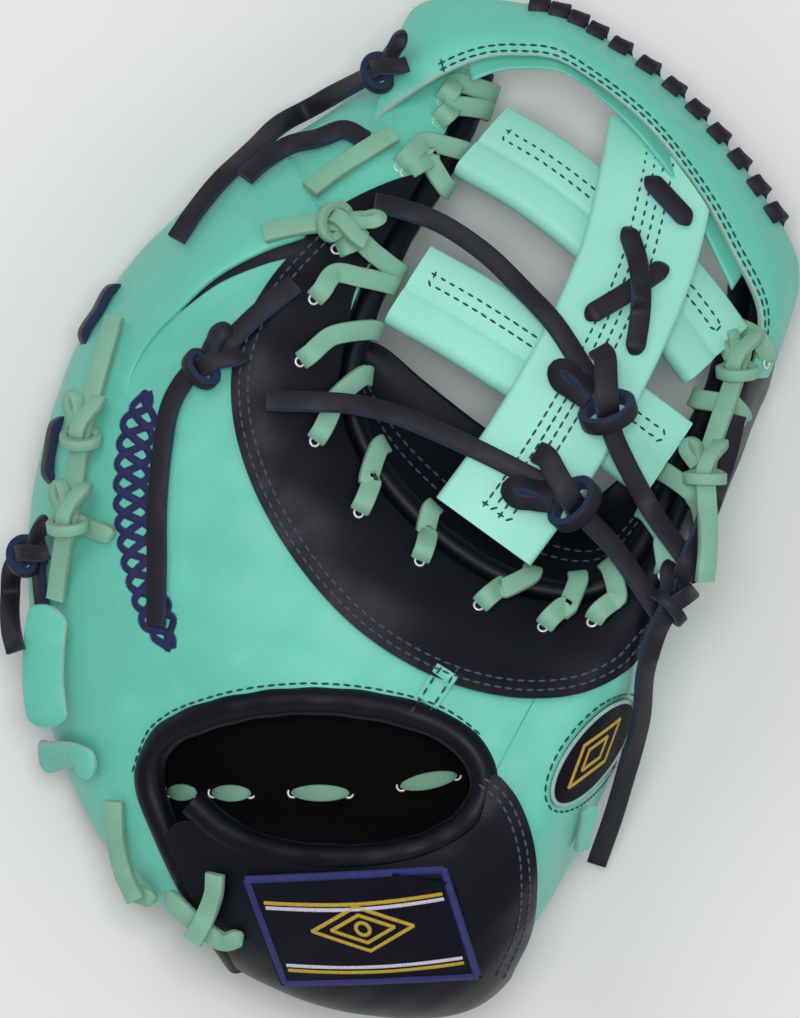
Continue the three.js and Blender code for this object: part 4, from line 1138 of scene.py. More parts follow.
def make_crotch_slope():
    """The navy leather inside the crotch, with its two sewn rows."""
    def below(t, s):
        return crotch_slope(t, s) - UP * SLOPE_THICKNESS

    piece = layer("pocket_slope", crotch_slope, below, np.linspace(0, 1, 160), shares(0, 1, 24, 0.05),
                  [FINISHES["navy"], FINISHES["navy_edge"]], 1, 0.8)
    ground.add(done(piece, "navy_leather"))
    rows = []
    for inset in (0.3, 0.4):
        t = np.linspace(0.02, 0.98, 240)
        points = crotch_slope(t, np.full_like(t, inset))
        rows.append((points, np.tile(UP, (len(t), 1))))
    done(leather_stitches("slope_stitches", rows, FINISHES["thread_navy"]), "navy_leather")


def edge_line(step=0.5):
    """The crotch edge in even steps: its share round the shell and its points."""
    t = np.linspace(0, 1, 3001)
    points = plain_back(t, np.zeros_like(t))
    return even(np.column_stack([points, t]), step)


def edge_at(share, line):
    k = share * (len(line) - 1)
    i = int(min(max(math.floor(k), 0), len(line) - 2))
    row = line[i] + (line[i + 1] - line[i]) * (k - i)
    along = (line[min(i + 4, len(line) - 1)] - line[max(i - 4, 0)])[:3] * [1, 1, 0]
    along = unit(along)
    return row[3], row[:3], np.array([-along[1], along[0], 0.0])


def make_rolls():
    """The rolled bindings of the crotch and of the hand opening."""
    line = edge_line(1.2)
    rows = [edge_at(share, line) for share in np.linspace(0, 1, 330)]
    reach, drop = CROTCH_ROLL + CLEARANCE, UP * INNER_EDGE / 2
    points = np.array([at + open_way * reach - drop for _, at, open_way in rows])
    ups = np.tile(UP, (len(points), 1))
    swell = 1 + waves(points, [(0.025, 9, 0.9, 0.4, 0, 0), (0.03, 23, 0.3, 0.9, 0, 1)])
    roll = sweep("crotch_roll", [{"points": points, "ups": ups, "scale": np.stack([swell, swell], 1)}],
                 round_section(CROTCH_ROLL, 16), [FINISHES["navy"]])
    ground.add(done(roll, "navy_leather", "crotch_binding"))
    flat = smooth(BINDING, 1.2)
    heights = []
    for x, y in flat[:, :2]:
        height, _ = ground.up(x, y)
        share = plain_height(x, y)
        heights.append(share if share > 0 else max(height, 0.45 * BACK_HEIGHT))
    flat[:, 2] = blurred(np.array(heights)[:, None], 4)[:, 0] - BACK_THICKNESS / 2
    swell = 1 + waves(flat, [(0.03, 11, 0.8, 0.5, 0, 0.5), (0.03, 29, 0.4, 0.9, 0, 1)])
    roll = sweep("wrist_roll", [{"points": flat, "ups": np.tile(UP, (len(flat), 1)),
                                 "scale": np.stack([swell, swell], 1)}],
                 round_section(WRIST_ROLL, 18), [FINISHES["navy"]])
    ground.add(done(roll, "navy_leather", "wrist_binding"))


BACK_TREES = []


def plain_height(x, y):
    """Height of the whole back at a place, or 0 past it."""
    if not BACK_TREES:
        t, s = np.meshgrid(np.linspace(0, 1, 400), np.linspace(0, 1, 120), indexing="ij")
        points = back_face(t, s).reshape(-1, 3)
        BACK_TREES.append(BVHTree.FromPolygons(points.tolist(), grid_faces(400, 120).tolist()))
    hit, _, _, _ = BACK_TREES[0].ray_cast((x, y, 400.0), (0, 0, -1))
    return hit[2] if hit is not None else 0.0


def make_strap():
    """The strap over the wrist, its patch and the badge behind the thumb."""
    strap = skin("wrist_strap_leather", CLEARANCE, STRAP_HIGH, (0.36, 0.74), (0.25, 1), "navy", "navy_edge",
                 (160, 60))
    trim(strap, closed_outline(STRAP_OUTLINE), "INTERSECT", FINISHES["navy_edge"])
    ground.add(done(strap, "navy_leather", "wrist_strap"))
    patch = skin("strap_patch_cloth", PATCH_LOW, PATCH_LOW + LABEL, (0.4, 0.68), (0.5, 1), "cloth", "border",
                 (120, 60))
    corners = np.vstack([even(np.array([a, b]), 1.0)[:-1] for a, b in zip(PATCH, np.roll(PATCH, -1, axis=0))])
    trim(patch, corners, "INTERSECT", FINISHES["border"])
    ground.add(done(patch, "patch_cloth", "strap_patch"))
    badge = skin("thumb_badge_cloth", OVERLAY_LOW, OVERLAY_LOW + LABEL, (0.6, 0.95), (0.1, 0.84), "cloth",
                 "mint_edge", (120, 60))
    trim(badge, badge_ring(0.0), "INTERSECT", FINISHES["mint_edge"])
    ground.add(done(badge, "patch_cloth", "thumb_badge"))


def badge_ring(inset):
    """The badge's outline, drawn in by an inset."""
    turn = np.linspace(0, 2 * math.pi, 96, endpoint=False)
    x, y = (BADGE["length"] / 2 - inset) * np.cos(turn), (BADGE["width"] / 2 - inset) * np.sin(turn)
    c, s = math.cos(BADGE["turn"]), math.sin(BADGE["turn"])
    return BADGE_CENTRE + np.stack([x * c - y * s, x * s + y * c, 0 * x], axis=1)


# Web.
UPPER_BAR = {"tilt": 24, "line": places([[60.2, 13.6, 50], [68, 17.4, 60], [77.5, 23.6, 67], [85, 30, 66],
                                         [89.6, 34.8, 61]])}
LOWER_BAR = {"tilt": 10, "line": places([[51, 28, 72], [58.5, 31.4, 78], [68.5, 36.6, 82], [77, 41.6, 81],
                                         [83.2, 45.2, 76]])}
BAR = {"width": 29.0, "thickness": 3.0, "roll_width": 13.0, "roll_thickness": 8.0}
POST = {"width": 37.0, "thickness": 5.0}
POST_ROWS = [  # across, down, how many bars deep it lies, up
    (60.3, 52.2, 0, 89), (66, 46, 0, 88.5), (71.8, 38.6, 1, 82.3), (75.8, 32.6, 0, 81), (79.6, 25.4, 1, 68),
    (82, 17.8, 0, 62), (83.2, 12.6, 0, 50),
]
FLAP_ROWS = np.array([
    [50.6, 4.8, 28, 46.4, 12.6, 49], [51.6, 2, 28, 50, 10.2, 50], [53.6, 0.4, 30, 55.5, 7.4, 50],
    [58.6, 0.2, 33, 60.5, 5.8, 51], [64, 0.6, 36, 65.2, 5.5, 53], [69.5, 1.6, 39, 70.2, 6.1, 56],
    [74.8, 4, 41, 75.6, 9, 60], [82.6, 8.4, 42, 81.4, 13.2, 62], [89.2, 13.6, 41, 87, 19, 61],
    [95, 19.6, 38, 91.2, 24.8, 58], [99.2, 26, 34, 94.4, 30.2, 57], [97.4, 32.6, 37, 94.2, 34.4, 57],
    [94.6, 37.6, 47, 92.9, 37.8, 58],
])
FLAP_THICKNESS = 3.0
FLAP_BULGE = 5.0
FOLD_THICKNESS = 3.2
FOLD_PAST = 0.26
FLAP_SIDE = {}


def flap_face(t, s):
    row = read_rows(FLAP_ROWS, t)
    outer, inner = percent(row[..., 0:3]), percent(row[..., 3:6])
    at = inner + (outer - inner) * np.asarray(s)[..., None]
    at[..., 2] += FLAP_BULGE * np.sin(math.pi * np.clip(s, 0, 1))
    return at


POST_TUCK = 0.3
PAST_FLAP = 40.0


def beyond_flap():
    """A plan outline of all that lies past the flap's inner edge, where the post ends."""
    row = read_rows(FLAP_ROWS, np.linspace(0.3, 0.95, 60))
    outer, inner = percent(row[:, 0:3]), percent(row[:, 3:6])
    way = unit((outer - inner) * [1, 1, 0])
    return np.vstack([inner + way * POST_TUCK, (outer + way * PAST_FLAP)[::-1]])


def flap_lift(lift):
    if not FLAP_SIDE:
        FLAP_SIDE["up"] = 1.0 if normal_of(flap_face, np.array(0.5), np.array(0.5))[2] > 0 else -1.0
    return raised(flap_face, lift * FLAP_SIDE["up"])


STRIP_STEP = 1.5


def leaning(line, tilt):
    """A strip's points and ways: a smooth line with the strip's own lean."""
    points = smooth(line, STRIP_STEP)
    along = tangents(points)
    angle = -math.radians(tilt)
    up = UP * math.cos(angle) + np.cross(along, UP) * math.sin(angle)
    up = up + along * (along @ UP)[:, None] * (1 - math.cos(angle))
    return points, unit(up)


def bar_section():
    """A bar's flat panel and the rolled fold along its lower edge."""
    w, h = BAR["width"] / 2, BAR["thickness"] / 2
    deep, start = BAR["roll_thickness"], w - BAR["roll_width"]
    turn = np.radians(np.linspace(90, -90, 11))
    front = np.stack([w - deep / 2 + deep / 2 * np.cos(turn), h - deep / 2 + deep / 2 * np.sin(turn)], axis=1)
    top = [[-w + 1, h], [-w / 2, h + 0.2], [start - 2.4, h + 0.1], [start - 0.9, h - 0.3], [start, h - 0.7],
           [start + 0.9, h - 0.25], [start + 2.6, h + 0.15]]
    under = [[start + 1, h - deep + 0.6], [start - 0.8, -h], [-w + 1, -h], [-w + 0.3, -h + 0.4], [-w, 0],
             [-w + 0.3, h - 0.4]]
    return np.array((top + front.tolist() + under)[::-1])


def post_line():
    seat = (BAR["thickness"] + POST["thickness"]) / 2 + CLEARANCE
    line = np.array([place(a, d, u) + UP * deep * seat for a, d, deep, u in POST_ROWS])
    points, ways = leaning(line, 0)
    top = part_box("web_post")[1][2] / MM
    side = np.cross(tangents(points), ways)
    corner = points[:, 2] + POST["thickness"] / 2 * ways[:, 2] + np.abs(side[:, 2]) * POST["width"] / 2
    return points + UP * (top - corner.max()), ways


def make_web():
    """The post, two bars, the flap along the top edge and the folded layer under it."""
    # The bars and post take the web's lighter hide, which holds painted light.
    mint, web, edge = FINISHES["mint"], FINISHES["web"], FINISHES["mint_edge"]
    for name, bar in (("upper", UPPER_BAR), ("lower", LOWER_BAR)):
        points, ways = leaning(bar["line"], bar["tilt"])
        obj = sweep(f"{name}_bar", [{"points": points, "ups": ways}], bar_section(), [web], sharp=60)
        end_caps(obj, edge)
        ground.add(done(obj, "mint_leather", f"web_{name}_bar"))
    fold = layer("fold_leather", flap_lift(-CLEARANCE), flap_lift(-CLEARANCE - FOLD_THICKNESS),
                 shares(3 / 14, 11 / 14, 150), shares(-FOLD_PAST, 0.7, 30, 0.05), [mint], radius=1.55)
    ground.add(done(fold, "mint_leather", "web_fold"))
    points, ways = post_line()
    section = lace_section(POST["width"], POST["thickness"], 2.0)
    post = sweep("post_leather", [{"points": points, "ups": ways}], section, [web], sharp=60)
    end_caps(post, edge)
    trim(post, beyond_flap(), "DIFFERENCE", mint)
    ground.add(done(post, "mint_leather", "web_post"))
    flap = layer("flap_leather", flap_lift(FLAP_THICKNESS), flap_lift(0), shares(0.02, 0.98, 220),
                 shares(0, 1, 40, 0.05), [mint, edge], 1, radius=0.7, pale=4)
    ground.add(done(flap, "mint_leather", "web_flap"))


def end_caps(obj, material):
    """Gives a strip's two cut ends the edge finish."""
    obj.data.materials.append(material)
    number = len(obj.data.materials) - 1
    for polygon in obj.data.polygons:
        if len(polygon.vertices) > 4:
            polygon.material_index = number


# Laces.
def lace_size():
    sizes = bpy.context.scene.mitt_sizes
    return sizes.lace_width / MM, sizes.lace_thickness / MM


LACE_LIFT = 0.15


def lay(line, width, thickness, slope, humps=(), step=1.0):
    """A lace laid over what is under it, no steeper than its slope."""
    flat = smooth(line * [1, 1, 0], step)
    side = np.cross(tangents(flat), UP)
    probes = (-0.5, -0.25, 0, 0.25, 0.5)
    heights = np.array([[ground.up(*(p + d * share * width)[:2])[0] for share in probes]
                        for p, d in zip(flat, side)])
    seat = heights.max(axis=1)
    for at, reach, rise in humps:
        away = np.linalg.norm((flat - at)[:, :2], axis=1)
        seat = seat + rise * np.clip(1.6 - away / reach, 0, 1)
    i = np.arange(len(flat))
    held = (seat[None, :] - slope * step * np.abs(i[:, None] - i[None, :])).max(axis=1)
    held = np.maximum(blurred(held[:, None], 3)[:, 0], seat)
    held = blurred(held[:, None], 1)[:, 0]
    lean = np.clip((heights[:, -1] - heights[:, 0]) / width, -0.5, 0.5)
    ways = unit(UP - side * blurred(lean[:, None], 4))
    flat[:, 2] = held + LACE_LIFT + thickness / 2
    return flat, ways


KNOT_HUMP = np.array([  # along, aside and up, in lace widths
    (-2.0, -0.75, 0.15), (-1.6, -0.8, 0.5), (-0.9, -0.5, 0.75), (-0.2, -0.2, 0.85), (0.35, 0, 0.7),
    (0.75, 0.1, 0.3),
])
KNOT_LOBE = np.array([
    (-0.5, 0.2, 0.12), (-1.2, 0.55, 0.2), (-1.85, 0.85, 0.25), (-2.0, 1.25, 0.22), (-1.5, 1.4, 0.16),
    (-0.8, 1.0, 0.1), (-0.2, 0.6, 0.05),
])
KNOT_COLLAR = {"middle": 0.6, "half_width": 1.12, "rise": 0.95, "ahead": 0.64, "up": 0.77, "lowest": -0.3}
KNOT_WIDTHS = {"collar": 0.72, "hump": 1.0, "lobe": 0.8}
KNOT_STEP = 0.12


def knot(points, ways, middle, width, size):
    """A knot's bands: a collar that leans down the strand, a hump that goes into it and a lobe beside it."""
    along, up = tangents(points)[middle], ways[middle]
    side = unit(np.cross(along, up))
    axes = np.array([along, side, np.cross(side, along)])

    def band(kind, local, faces, closed=False):
        scale = np.full((len(local), 2), [KNOT_WIDTHS[kind] * size, 1.0])
        at = points[middle] + local @ axes * width * size
        return {"points": at, "ups": unit(faces @ axes), "scale": scale, "closed": closed}

    turn = np.linspace(0, 2 * math.pi, 44, endpoint=False)
    collar = KNOT_COLLAR
    out = np.stack([np.sin(turn) * collar["ahead"], np.cos(turn), np.sin(turn) * collar["up"]], axis=1)
    ring = out * [collar["rise"], collar["half_width"], collar["rise"]] + [collar["middle"], 0, 0]
    ring[:, 2] = np.maximum(ring[:, 2], collar["lowest"])
    hump, lobe = smooth(KNOT_HUMP, KNOT_STEP), smooth(KNOT_LOBE, KNOT_STEP)
    away = unit((lobe - lobe.mean(axis=0)) * [1, 1, 0])
    return [band("collar", ring, out, True), band("hump", hump, np.cross(tangents(hump), [0, 1, 0])),
            band("lobe", lobe, away + [0, 0, 1])]


def rounded_ends(points, reach):
    """Widths that round off both ends of a lace."""
    far = np.concatenate([[0], np.cumsum(np.linalg.norm(np.diff(points, axis=0), axis=1))])
    near = np.clip(np.minimum(far, far[-1] - far) / reach, 0, 1)
    wide = np.sqrt(np.maximum(1 - (1 - near) ** 2, 0.04))
    return np.stack([wide, 0.5 + 0.5 * wide], axis=1)


def lace_mesh(name, parts, kind):
    """Lace of one kind along each part's line, smooth above and suede at its sides."""
    materials = [FINISHES[f"{kind}_lace"], FINISHES[f"{kind}_suede"]]
    return sweep(name, parts, lace_section(*lace_size()), materials, TOP_SIDES)


LACES = [
    {"name": "upper", "kind": "navy", "slope": 0.3, "knots": [7], "knot": 1.15,
     "tail": "upper_tail", "cord": True, "nodes": ["upper_lace", "upper_knot"],
     "line": [[46.9, 20.1], [50.6, 20.8], [55, 22.1], [60.6, 25.1], [65, 28.5], [69, 31.9], [72.3, 35.9],
              [75, 39.5], [76.5, 43.2], [79, 47.2], [81.5, 50.6], [84.4, 53.8], [87.1, 56.7]]},
    {"name": "lower", "kind": "navy", "slope": 0.3, "knots": [7], "knot": 1.15,
     "tail": "lower_tail", "cord": True, "nodes": ["lower_lace", "lower_knot"],
     "line": [[33.5, 39.5], [38.8, 39.6], [43.8, 39.8], [49.4, 40.8], [53.8, 42.2], [59.4, 44.2], [65, 46.4],
              [70, 48.6], [73.8, 51.6], [76.5, 53.8], [79.4, 57], [82.8, 61.1]]},
    {"name": "side", "kind": "navy", "slope": 0.5, "knots": [3], "tail": "side_tail", "cord": True,
     "nodes": ["side_lace", "side_knot"],
     "line": [[37, 28.1], [32.5, 31], [28.6, 34], [26.6, 35.8], [24.2, 36.8], [22.5, 38.5], [21.4, 40.5],
              [20.6, 44.2], [20, 49.1], [19.9, 55], [19.8, 61.4]]},
    {"name": "top", "kind": "navy", "slope": 1.2, "knots": [1], "tail": "top_tail", "cord": True,
     "nodes": ["top_knot"],
     "line": [[49.4, 5.9], [48.1, 6.7], [45, 7.7], [40, 9.6], [35, 11.8], [31.3, 14.7], [27.5, 17.7],
              [24.6, 20.6], [22.1, 23.6]]},
    {"name": "top_strand", "kind": "navy", "slope": 0.6, "nodes": ["top_strand"],
     "line": [[45.6, 13.8], [43.1, 12.8], [39.8, 13.6], [36.3, 14.2], [33.1, 15.7], [30.6, 17.5]]},
    {"name": "thumb", "kind": "navy", "slope": 1.2, "knots": [4], "tail": "thumb_tail", "cord": True,
     "nodes": ["thumb_lace", "thumb_knot"],
     "line": [[91.9, 40.8], [90.6, 45], [88.6, 49.5], [86, 54.4], [83.5, 58.9], [81.6, 62.2], [80.4, 65.8],
              [80, 70.7], [78.5, 75.6], [76.9, 80.5], [75, 85.3]]},
    {"name": "rim", "kind": "navy", "slope": 1.5, "knots": [1], "nodes": ["rim_knot", "rim_tail"],
     "line": [[5.4, 53.4], [3.9, 54.2], [1.5, 55.6], [0.9, 58.9], [1.2, 61.7], [2, 64]]},
    {"name": "web", "kind": "mint", "slope": 0.6, "knots": [1], "nodes": ["web_knot", "web_tail"],
     "line": [[45.4, 23.9], [43.1, 22.4], [40, 22.2], [36.3, 22.6], [33.1, 23.2]]},
    {"name": "finger", "kind": "mint", "slope": 0.6, "nodes": ["finger_tail"],
     "line": [[49.2, 13.2], [46.3, 14.6], [42.5, 16.6], [38.8, 18.9]]},
    {"name": "left", "kind": "mint", "slope": 0.8, "knots": [3, 5],
     "nodes": ["left_tail", "left_knot", "left_lace", "left_end_knot", "left_end"],
     "line": [[14.4, 31.2], [13.1, 34.9], [11.9, 38.3], [10.6, 42.2], [9.8, 46.2], [9, 50.6], [8, 54],
              [7, 58.9]]},
    {"name": "heel", "kind": "mint", "slope": 0.8, "nodes": ["heel_lace"],
     "line": [[27.1, 85.5], [26.9, 87.5], [25.6, 90.2], [24.2, 92.2]]},
    {"name": "heel_side", "kind": "mint", "slope": 0.8, "nodes": ["heel_side_lace"],
     "line": [[14.4, 78.6], [14.5, 82], [15.3, 85.5], [17, 88.4]]},
    {"name": "right", "kind": "mint", "slope": 0.8, "knots": [1, 4],
     "nodes": ["right_knot", "right_lace", "right_end_knot", "right_tail"],
     "line": [[92.9, 33.6], [92.3, 35.8], [91, 38.8], [89.4, 42.2], [87.9, 46.2], [88, 49.6], [88, 53.5],
              [87.6, 57]]},
]
SHORT_LACES = [
    {"name": "post_stub", "kind": "navy", "slope": 1, "short": True, "nodes": ["post_stitch"],
     "line": [[80.9, 17.6], [86, 22]]},
    {"name": "cross_low", "kind": "navy", "slope": 1, "short": True, "nodes": ["cross_under"],
     "line": [[73.1, 31.3], [77.6, 29.2], [83, 26.3]]},
    {"name": "cross_high", "kind": "navy", "slope": 1, "short": True, "nodes": ["cross_over"],
     "line": [[78.2, 22.6], [79.6, 26.3], [79.8, 30.5], [79, 34.9]]},
    {"name": "heel_cross", "kind": "mint", "slope": 0.8, "short": True, "nodes": [],
     "line": [[20.9, 87.7], [24.6, 90.4], [28.1, 92.2], [30.4, 91.6]]},
    {"name": "heel_side_cross", "kind": "mint", "slope": 0.8, "short": True, "nodes": [],
     "line": [[15.6, 87.4], [19.4, 88.4]]},
    {"name": "left_short", "kind": "mint", "slope": 0.8, "short": True, "nodes": [],
     "line": [[8.2, 51], [14.4, 52.6]]},
]


def make_lace(row):
    """One laid lace with its knots. A free tail past the last knot is a piece of its own."""
    width, thickness = lace_size()
    line = places(row["line"])
    knots = row.get("knots", [])
    size = row.get("knot", 0.8)
    humps = [(line[k], 1.1 * width, 0.42 * width * size) for k in knots]
    points, ways = lay(line, width, thickness, row["slope"], humps, step=0.5 if row.get("short") else 1.0)
    marks = [int(np.argmin(np.linalg.norm((points - line[k])[:, :2], axis=1))) for k in knots]
    bands = [band for mark in marks for band in knot(points, ways, mark, width, size)]
    slot = f"{row['kind']}_lace"
    cut = len(points)
    if row.get("cord"):
        cut = marks[-1] + int(width * 0.8)
    run = {"points": points[:cut + 1], "ups": ways[:cut + 1]}
    if row.get("short"):
        run["scale"] = rounded_ends(points, width / 2)
        run["points"] = points - UP * (1 - run["scale"][:, :1]) * thickness
    body = lace_mesh(f"{row['name']}_lace_run", [run, *bands], row["kind"])
    done(body, slot, *row["nodes"])
    if row.get("cord"):
        tail_points, tail_ways = points[cut:], ways[cut:]
        tail = lace_mesh(f"{row['name']}_free_tail", [{"points": tail_points, "ups": tail_ways}], row["kind"])
        done(tail, slot, row["tail"])
        path = [tuple(p * MM) for p in tail_points[::4]] + [tuple(tail_points[-1] * MM)]
        ground.add(tail)
    ground.add(body)


def make_laces():
    for row in SHORT_LACES + LACES:
        make_lace(row)


TABS = [
    {"name": "pinkie_strap", "node": "pinkie_tab", "width": 15.0,
     "line": [[6.2, 59.5], [5.6, 63], [5.4, 67], [6, 71.5]]},
    {"name": "pinkie_band", "node": "pinkie_loop", "width": 11.0,
     "line": [[4.6, 74.6], [8.2, 74.2], [12, 75.4]]},
    {"name": "thumb_strap", "node": "thumb_tab", "width": 6.0,
     "line": [[73.6, 79], [73.2, 81], [72.6, 83.4]]},
]


def make_tabs():
    """Small straps at the little finger's rim and at the thumb."""
    for row in TABS:
        points, ways = lay(places(row["line"]), row["width"], TAB, 2.0, step=0.5)
        part = {"points": points, "ups": ways, "scale": rounded_ends(points, row["width"] / 3)}
        obj = sweep(row["name"], [part], lace_section(row["width"], TAB, 1.1),
                    [FINISHES["mint"], FINISHES["mint_edge"]], TOP_SIDES)
        ground.add(done(obj, "mint_leather", row["node"]))


# Laces that whip over an edge.
CROTCH_LOOPS = [  # across and down: the hole, a bend, and where the lace goes over the roll
    [55.4, 9.8, 57.2, 7.9, 60.5, 8.6], [54.8, 11.8, 56.5, 10.5, 59.5, 10.2],
    [50.1, 16.3, 53.1, 14, 57.9, 14.7],
    [50.9, 16.9, 53.8, 15.5, 56.5, 18.7], [42.4, 24.6, 45, 23.9, 49.8, 26.8],
    [39.5, 29.4, 41.9, 27.1, 48.8, 28],
    [37.9, 35.5, 41.3, 33.3, 46.3, 32.5], [39.6, 43.2, 41.3, 40.8, 44.5, 36.9],
    [45, 50.1, 46.5, 47.2, 48.5, 43.5],
    [52.5, 54.8, 53.4, 52.5, 54.5, 49.5], [60, 59.2, 62.8, 57.4, 66.3, 56],
    [67.9, 61.3, 70.4, 59.4, 72.1, 57.2],
    [74, 60.8, 76.3, 58.9, 77.3, 56.8], [82.5, 56.2, 82.6, 53, 80, 50.1],
    [86.5, 51.6, 86.4, 48.6, 83.5, 46.7],
    [92.5, 41.3, 91, 39.5, 87.5, 39.3], [95.6, 35.4, 94.6, 33.2, 91.9, 31.9],
]
HOLES = []
WEB_ENDS = (0.38, 0.8)
WEB_HOLE = 0.87
WEB_LOOPS = 12
RIM_ENDS = (0.19, 0.37)
RIM_HOLE = 0.8
RIM_STITCHES = 5
LINING_STITCHES = [  # from and to, across and down
    [21, 77.9, 24.5, 77.9], [26.6, 77.9, 31.3, 77.9], [36.6, 77.8, 43.6, 77.8], [50.2, 77.1, 57, 76],
]


def one(face, t, s):
    return face(np.array(float(t)), np.array(float(s)))


def one_normal(face, t, s):
    return normal_of(face, np.array(float(t)), np.array(float(s)))


def whip(name, rows, kind, slot, node):
    """A lace through rows of points, each with the way that its smooth side faces."""
    both = np.array([np.concatenate([p, unit(np.asarray(u, float))]) for p, u in rows])
    line = smooth(both)
    obj = lace_mesh(name, [{"points": line[:, :3], "ups": unit(line[:, 3:])}], kind)
    return ground.add(done(obj, slot, node))


def crotch_rows():
    """Each loop comes up through its hole, crosses the leather and goes round the roll."""
    line = edge_line()
    seat = lace_size()[1] / 2 + bpy.context.scene.mitt_sizes.whip_stand / MM
    roll = CROTCH_ROLL + seat
    rows = []
    for numbers in CROTCH_LOOPS:
        hole, bend, over = (place(*numbers[i:i + 2]) for i in (0, 2, 4))
        _, edge, open_way = edge_at(share_near(line, over), line)
        centre = edge + open_way * (CROTCH_ROLL + CLEARANCE) - UP * INNER_EDGE / 2
        between = bend + (over - bend) * np.linspace(0, 1, 40)[:, None]
        gaps = np.linalg.norm((between[:, None] - line[None, ::8, :3])[..., :2], axis=2).min(axis=1)
        crossing = between[int(np.argmin(gaps))]
        crossing = crossing - open_way * 1.2
        toward = unit((bend - hole) * [1, 1, 0])
        for at in (hole, bend, crossing):
            at[2] = ground.up(*at[:2])[0]
        way = np.array(ground.up(*hole[:2])[1])
        HOLES.append((hole - toward * 1.0, way))
        rows.append((hole - UP * 7 + toward * 2, -toward))
        rows.append((hole - UP * 1.4, UP * 0.4 - toward))
        rows.append((hole + toward * 2.2 + way * (seat + 0.2), UP - toward * 0.2))
        rows.append((bend + UP * (seat + 0.3), UP))
        rows.append((crossing + UP * (seat + 0.4), UP + open_way * 0.3))
        for turn in (48, 8, -32):
            away = open_way * math.cos(math.radians(turn)) + UP * math.sin(math.radians(turn))
            rows.append((centre + away * roll, away))
        rows.append((centre - UP * (roll + 1.5) - open_way * 4, -UP))
    return rows


def web_rows():
    seat = lace_size()[1] / 2 + bpy.context.scene.mitt_sizes.whip_stand / MM
    side = 1.0 if one_normal(flap_face, 0.5, 0.5)[2] > 0 else -1.0
    rows = []
    for k in range(WEB_LOOPS):
        def share(n):
            return WEB_ENDS[0] + (WEB_ENDS[1] - WEB_ENDS[0]) * n / WEB_LOOPS
        t = share(k)
        up = one_normal(flap_face, t, WEB_HOLE) * side
        out = unit(one(flap_face, t, 1) - one(flap_face, t, WEB_HOLE))

        def on(n, s, lift, beyond=0.0):
            return one(flap_face, share(n), s) + up * lift + out * beyond
        rows += [
            (on(k, WEB_HOLE, -seat), -out - up), (on(k, WEB_HOLE, FLAP_THICKNESS - 0.6), -out),
            (on(k + 0.05, WEB_HOLE + 0.05, FLAP_THICKNESS + seat + 0.3), up - 0.3 * out),
            (on(k + 0.2, 1, FLAP_THICKNESS + seat, 0.0), up + out),
            (on(k + 0.35, 1, FLAP_THICKNESS / 2, seat + 0.8), out),
            (on(k + 0.6, 1, -seat, 1.2), out - up), (on(k + 0.8, WEB_HOLE, -seat), -up),
        ]
    return rows


def rim_rows():
    seat = lace_size()[1] / 2 + 0.2

    def share(n):
        return RIM_ENDS[0] + (RIM_ENDS[1] - RIM_ENDS[0]) * n / RIM_STITCHES
    rows = []
    for k in range(RIM_STITCHES):
        outside = k % 2 == 0
        for part in (0.06, 0.14, 0.5, 0.86, 0.94):
            t = share(k + part)
            up = one_normal(plain_back, t, RIM_HOLE)
            sunk = part in (0.06, 0.94)
            lift = (-0.4 if sunk else seat) if outside else -BACK_THICKNESS - seat
            rows.append((one(back_face, t, RIM_HOLE) + up * lift, up if outside else -up))
    return rows


def lining_parts():
    """Short stitches of lace on the lining, pointed at both ends."""
    lining = Ground()
    lining.add(bpy.data.objects["hand_lining"])
    parts = []
    for numbers in LINING_STITCHES:
        line = even(places([numbers[:2], numbers[2:]]), 0.8)
        share = np.linspace(0, 1, len(line))
        swell = np.sin(math.pi * share) ** 0.5
        line[:, 2] = [lining.up(*p[:2])[0] for p in line] + swell * 1.6 - 0.5
        parts.append({"points": line, "ups": np.tile(UP, (len(line), 1)),
                      "scale": np.stack([0.1 + 0.75 * swell, 0.5 + 0.5 * swell], axis=1)})
        HOLES.append((line[0], UP))
        HOLES.append((line[-1], UP))
    return parts


def make_eyelets():
    """Pale rims where laces go through the leather: partly eyelets, partly a painted glint of light at each
    hole.
    """
    turn = np.linspace(0, 2 * math.pi, 20, endpoint=False)[:, None]
    parts = []
    for at, way in HOLES:
        side = unit(np.cross(way, [0.3, 1, 0.1]))
        ring = at + way * 0.2 + (np.cos(turn) * side + np.sin(turn) * np.cross(way, side)) * 1.5
        parts.append({"points": ring, "ups": np.tile(way, (len(ring), 1)), "closed": True})
    done(sweep("lace_eyelets", parts, round_section(0.42, 8), [FINISHES["eyelet"]]), "navy_leather")


def make_whips():
    whip("crotch_whip", crotch_rows(), "mint", "mint_lace", "crotch_lace")
    whip("web_whip", web_rows(), "navy", "navy_lace", "web_edge_lace")
    whip("rim_running_lace", rim_rows(), "navy", "navy_lace", "rim_lace")
    lining = lace_mesh("lining_running_lace", lining_parts(), "mint")
    ground.add(done(lining, "mint_lace", "lining_lace"))
    # Pale rims at the lace holes, which paint a glint of light there.
    make_eyelets()


# Stitches and embroidery.
def on_face(face, t, s, lift):
    t, s = np.broadcast_arrays(np.asarray(t, float), np.asarray(s, float))
    base = plain_back if face is back_face else face
    return raised(face, lift)(t, s), normal_of(base, t, s)


def along_strip(points, ways, aside, lift, cut=0):
    """A line beside a strip's middle, on its top."""
    side = unit(np.cross(tangents(points), ways))
    line = points + side * aside + ways * lift
    return line[cut:len(line) - cut], ways[cut:len(ways) - cut]


def boxed(points, ways, low, high, lift, cut):
    """The outline of a long stitched box on a strip, as one closed line."""
    a, wa = along_strip(points, ways, low, lift, cut)
    b, wb = along_strip(points, ways, high, lift, cut)
    line = np.vstack([a, b[::-1], a[:1]])
    return even(np.hstack([line, np.vstack([wa, wb[::-1], wa[:1]])]), 0.4)


LEATHER_LOW = 4.0


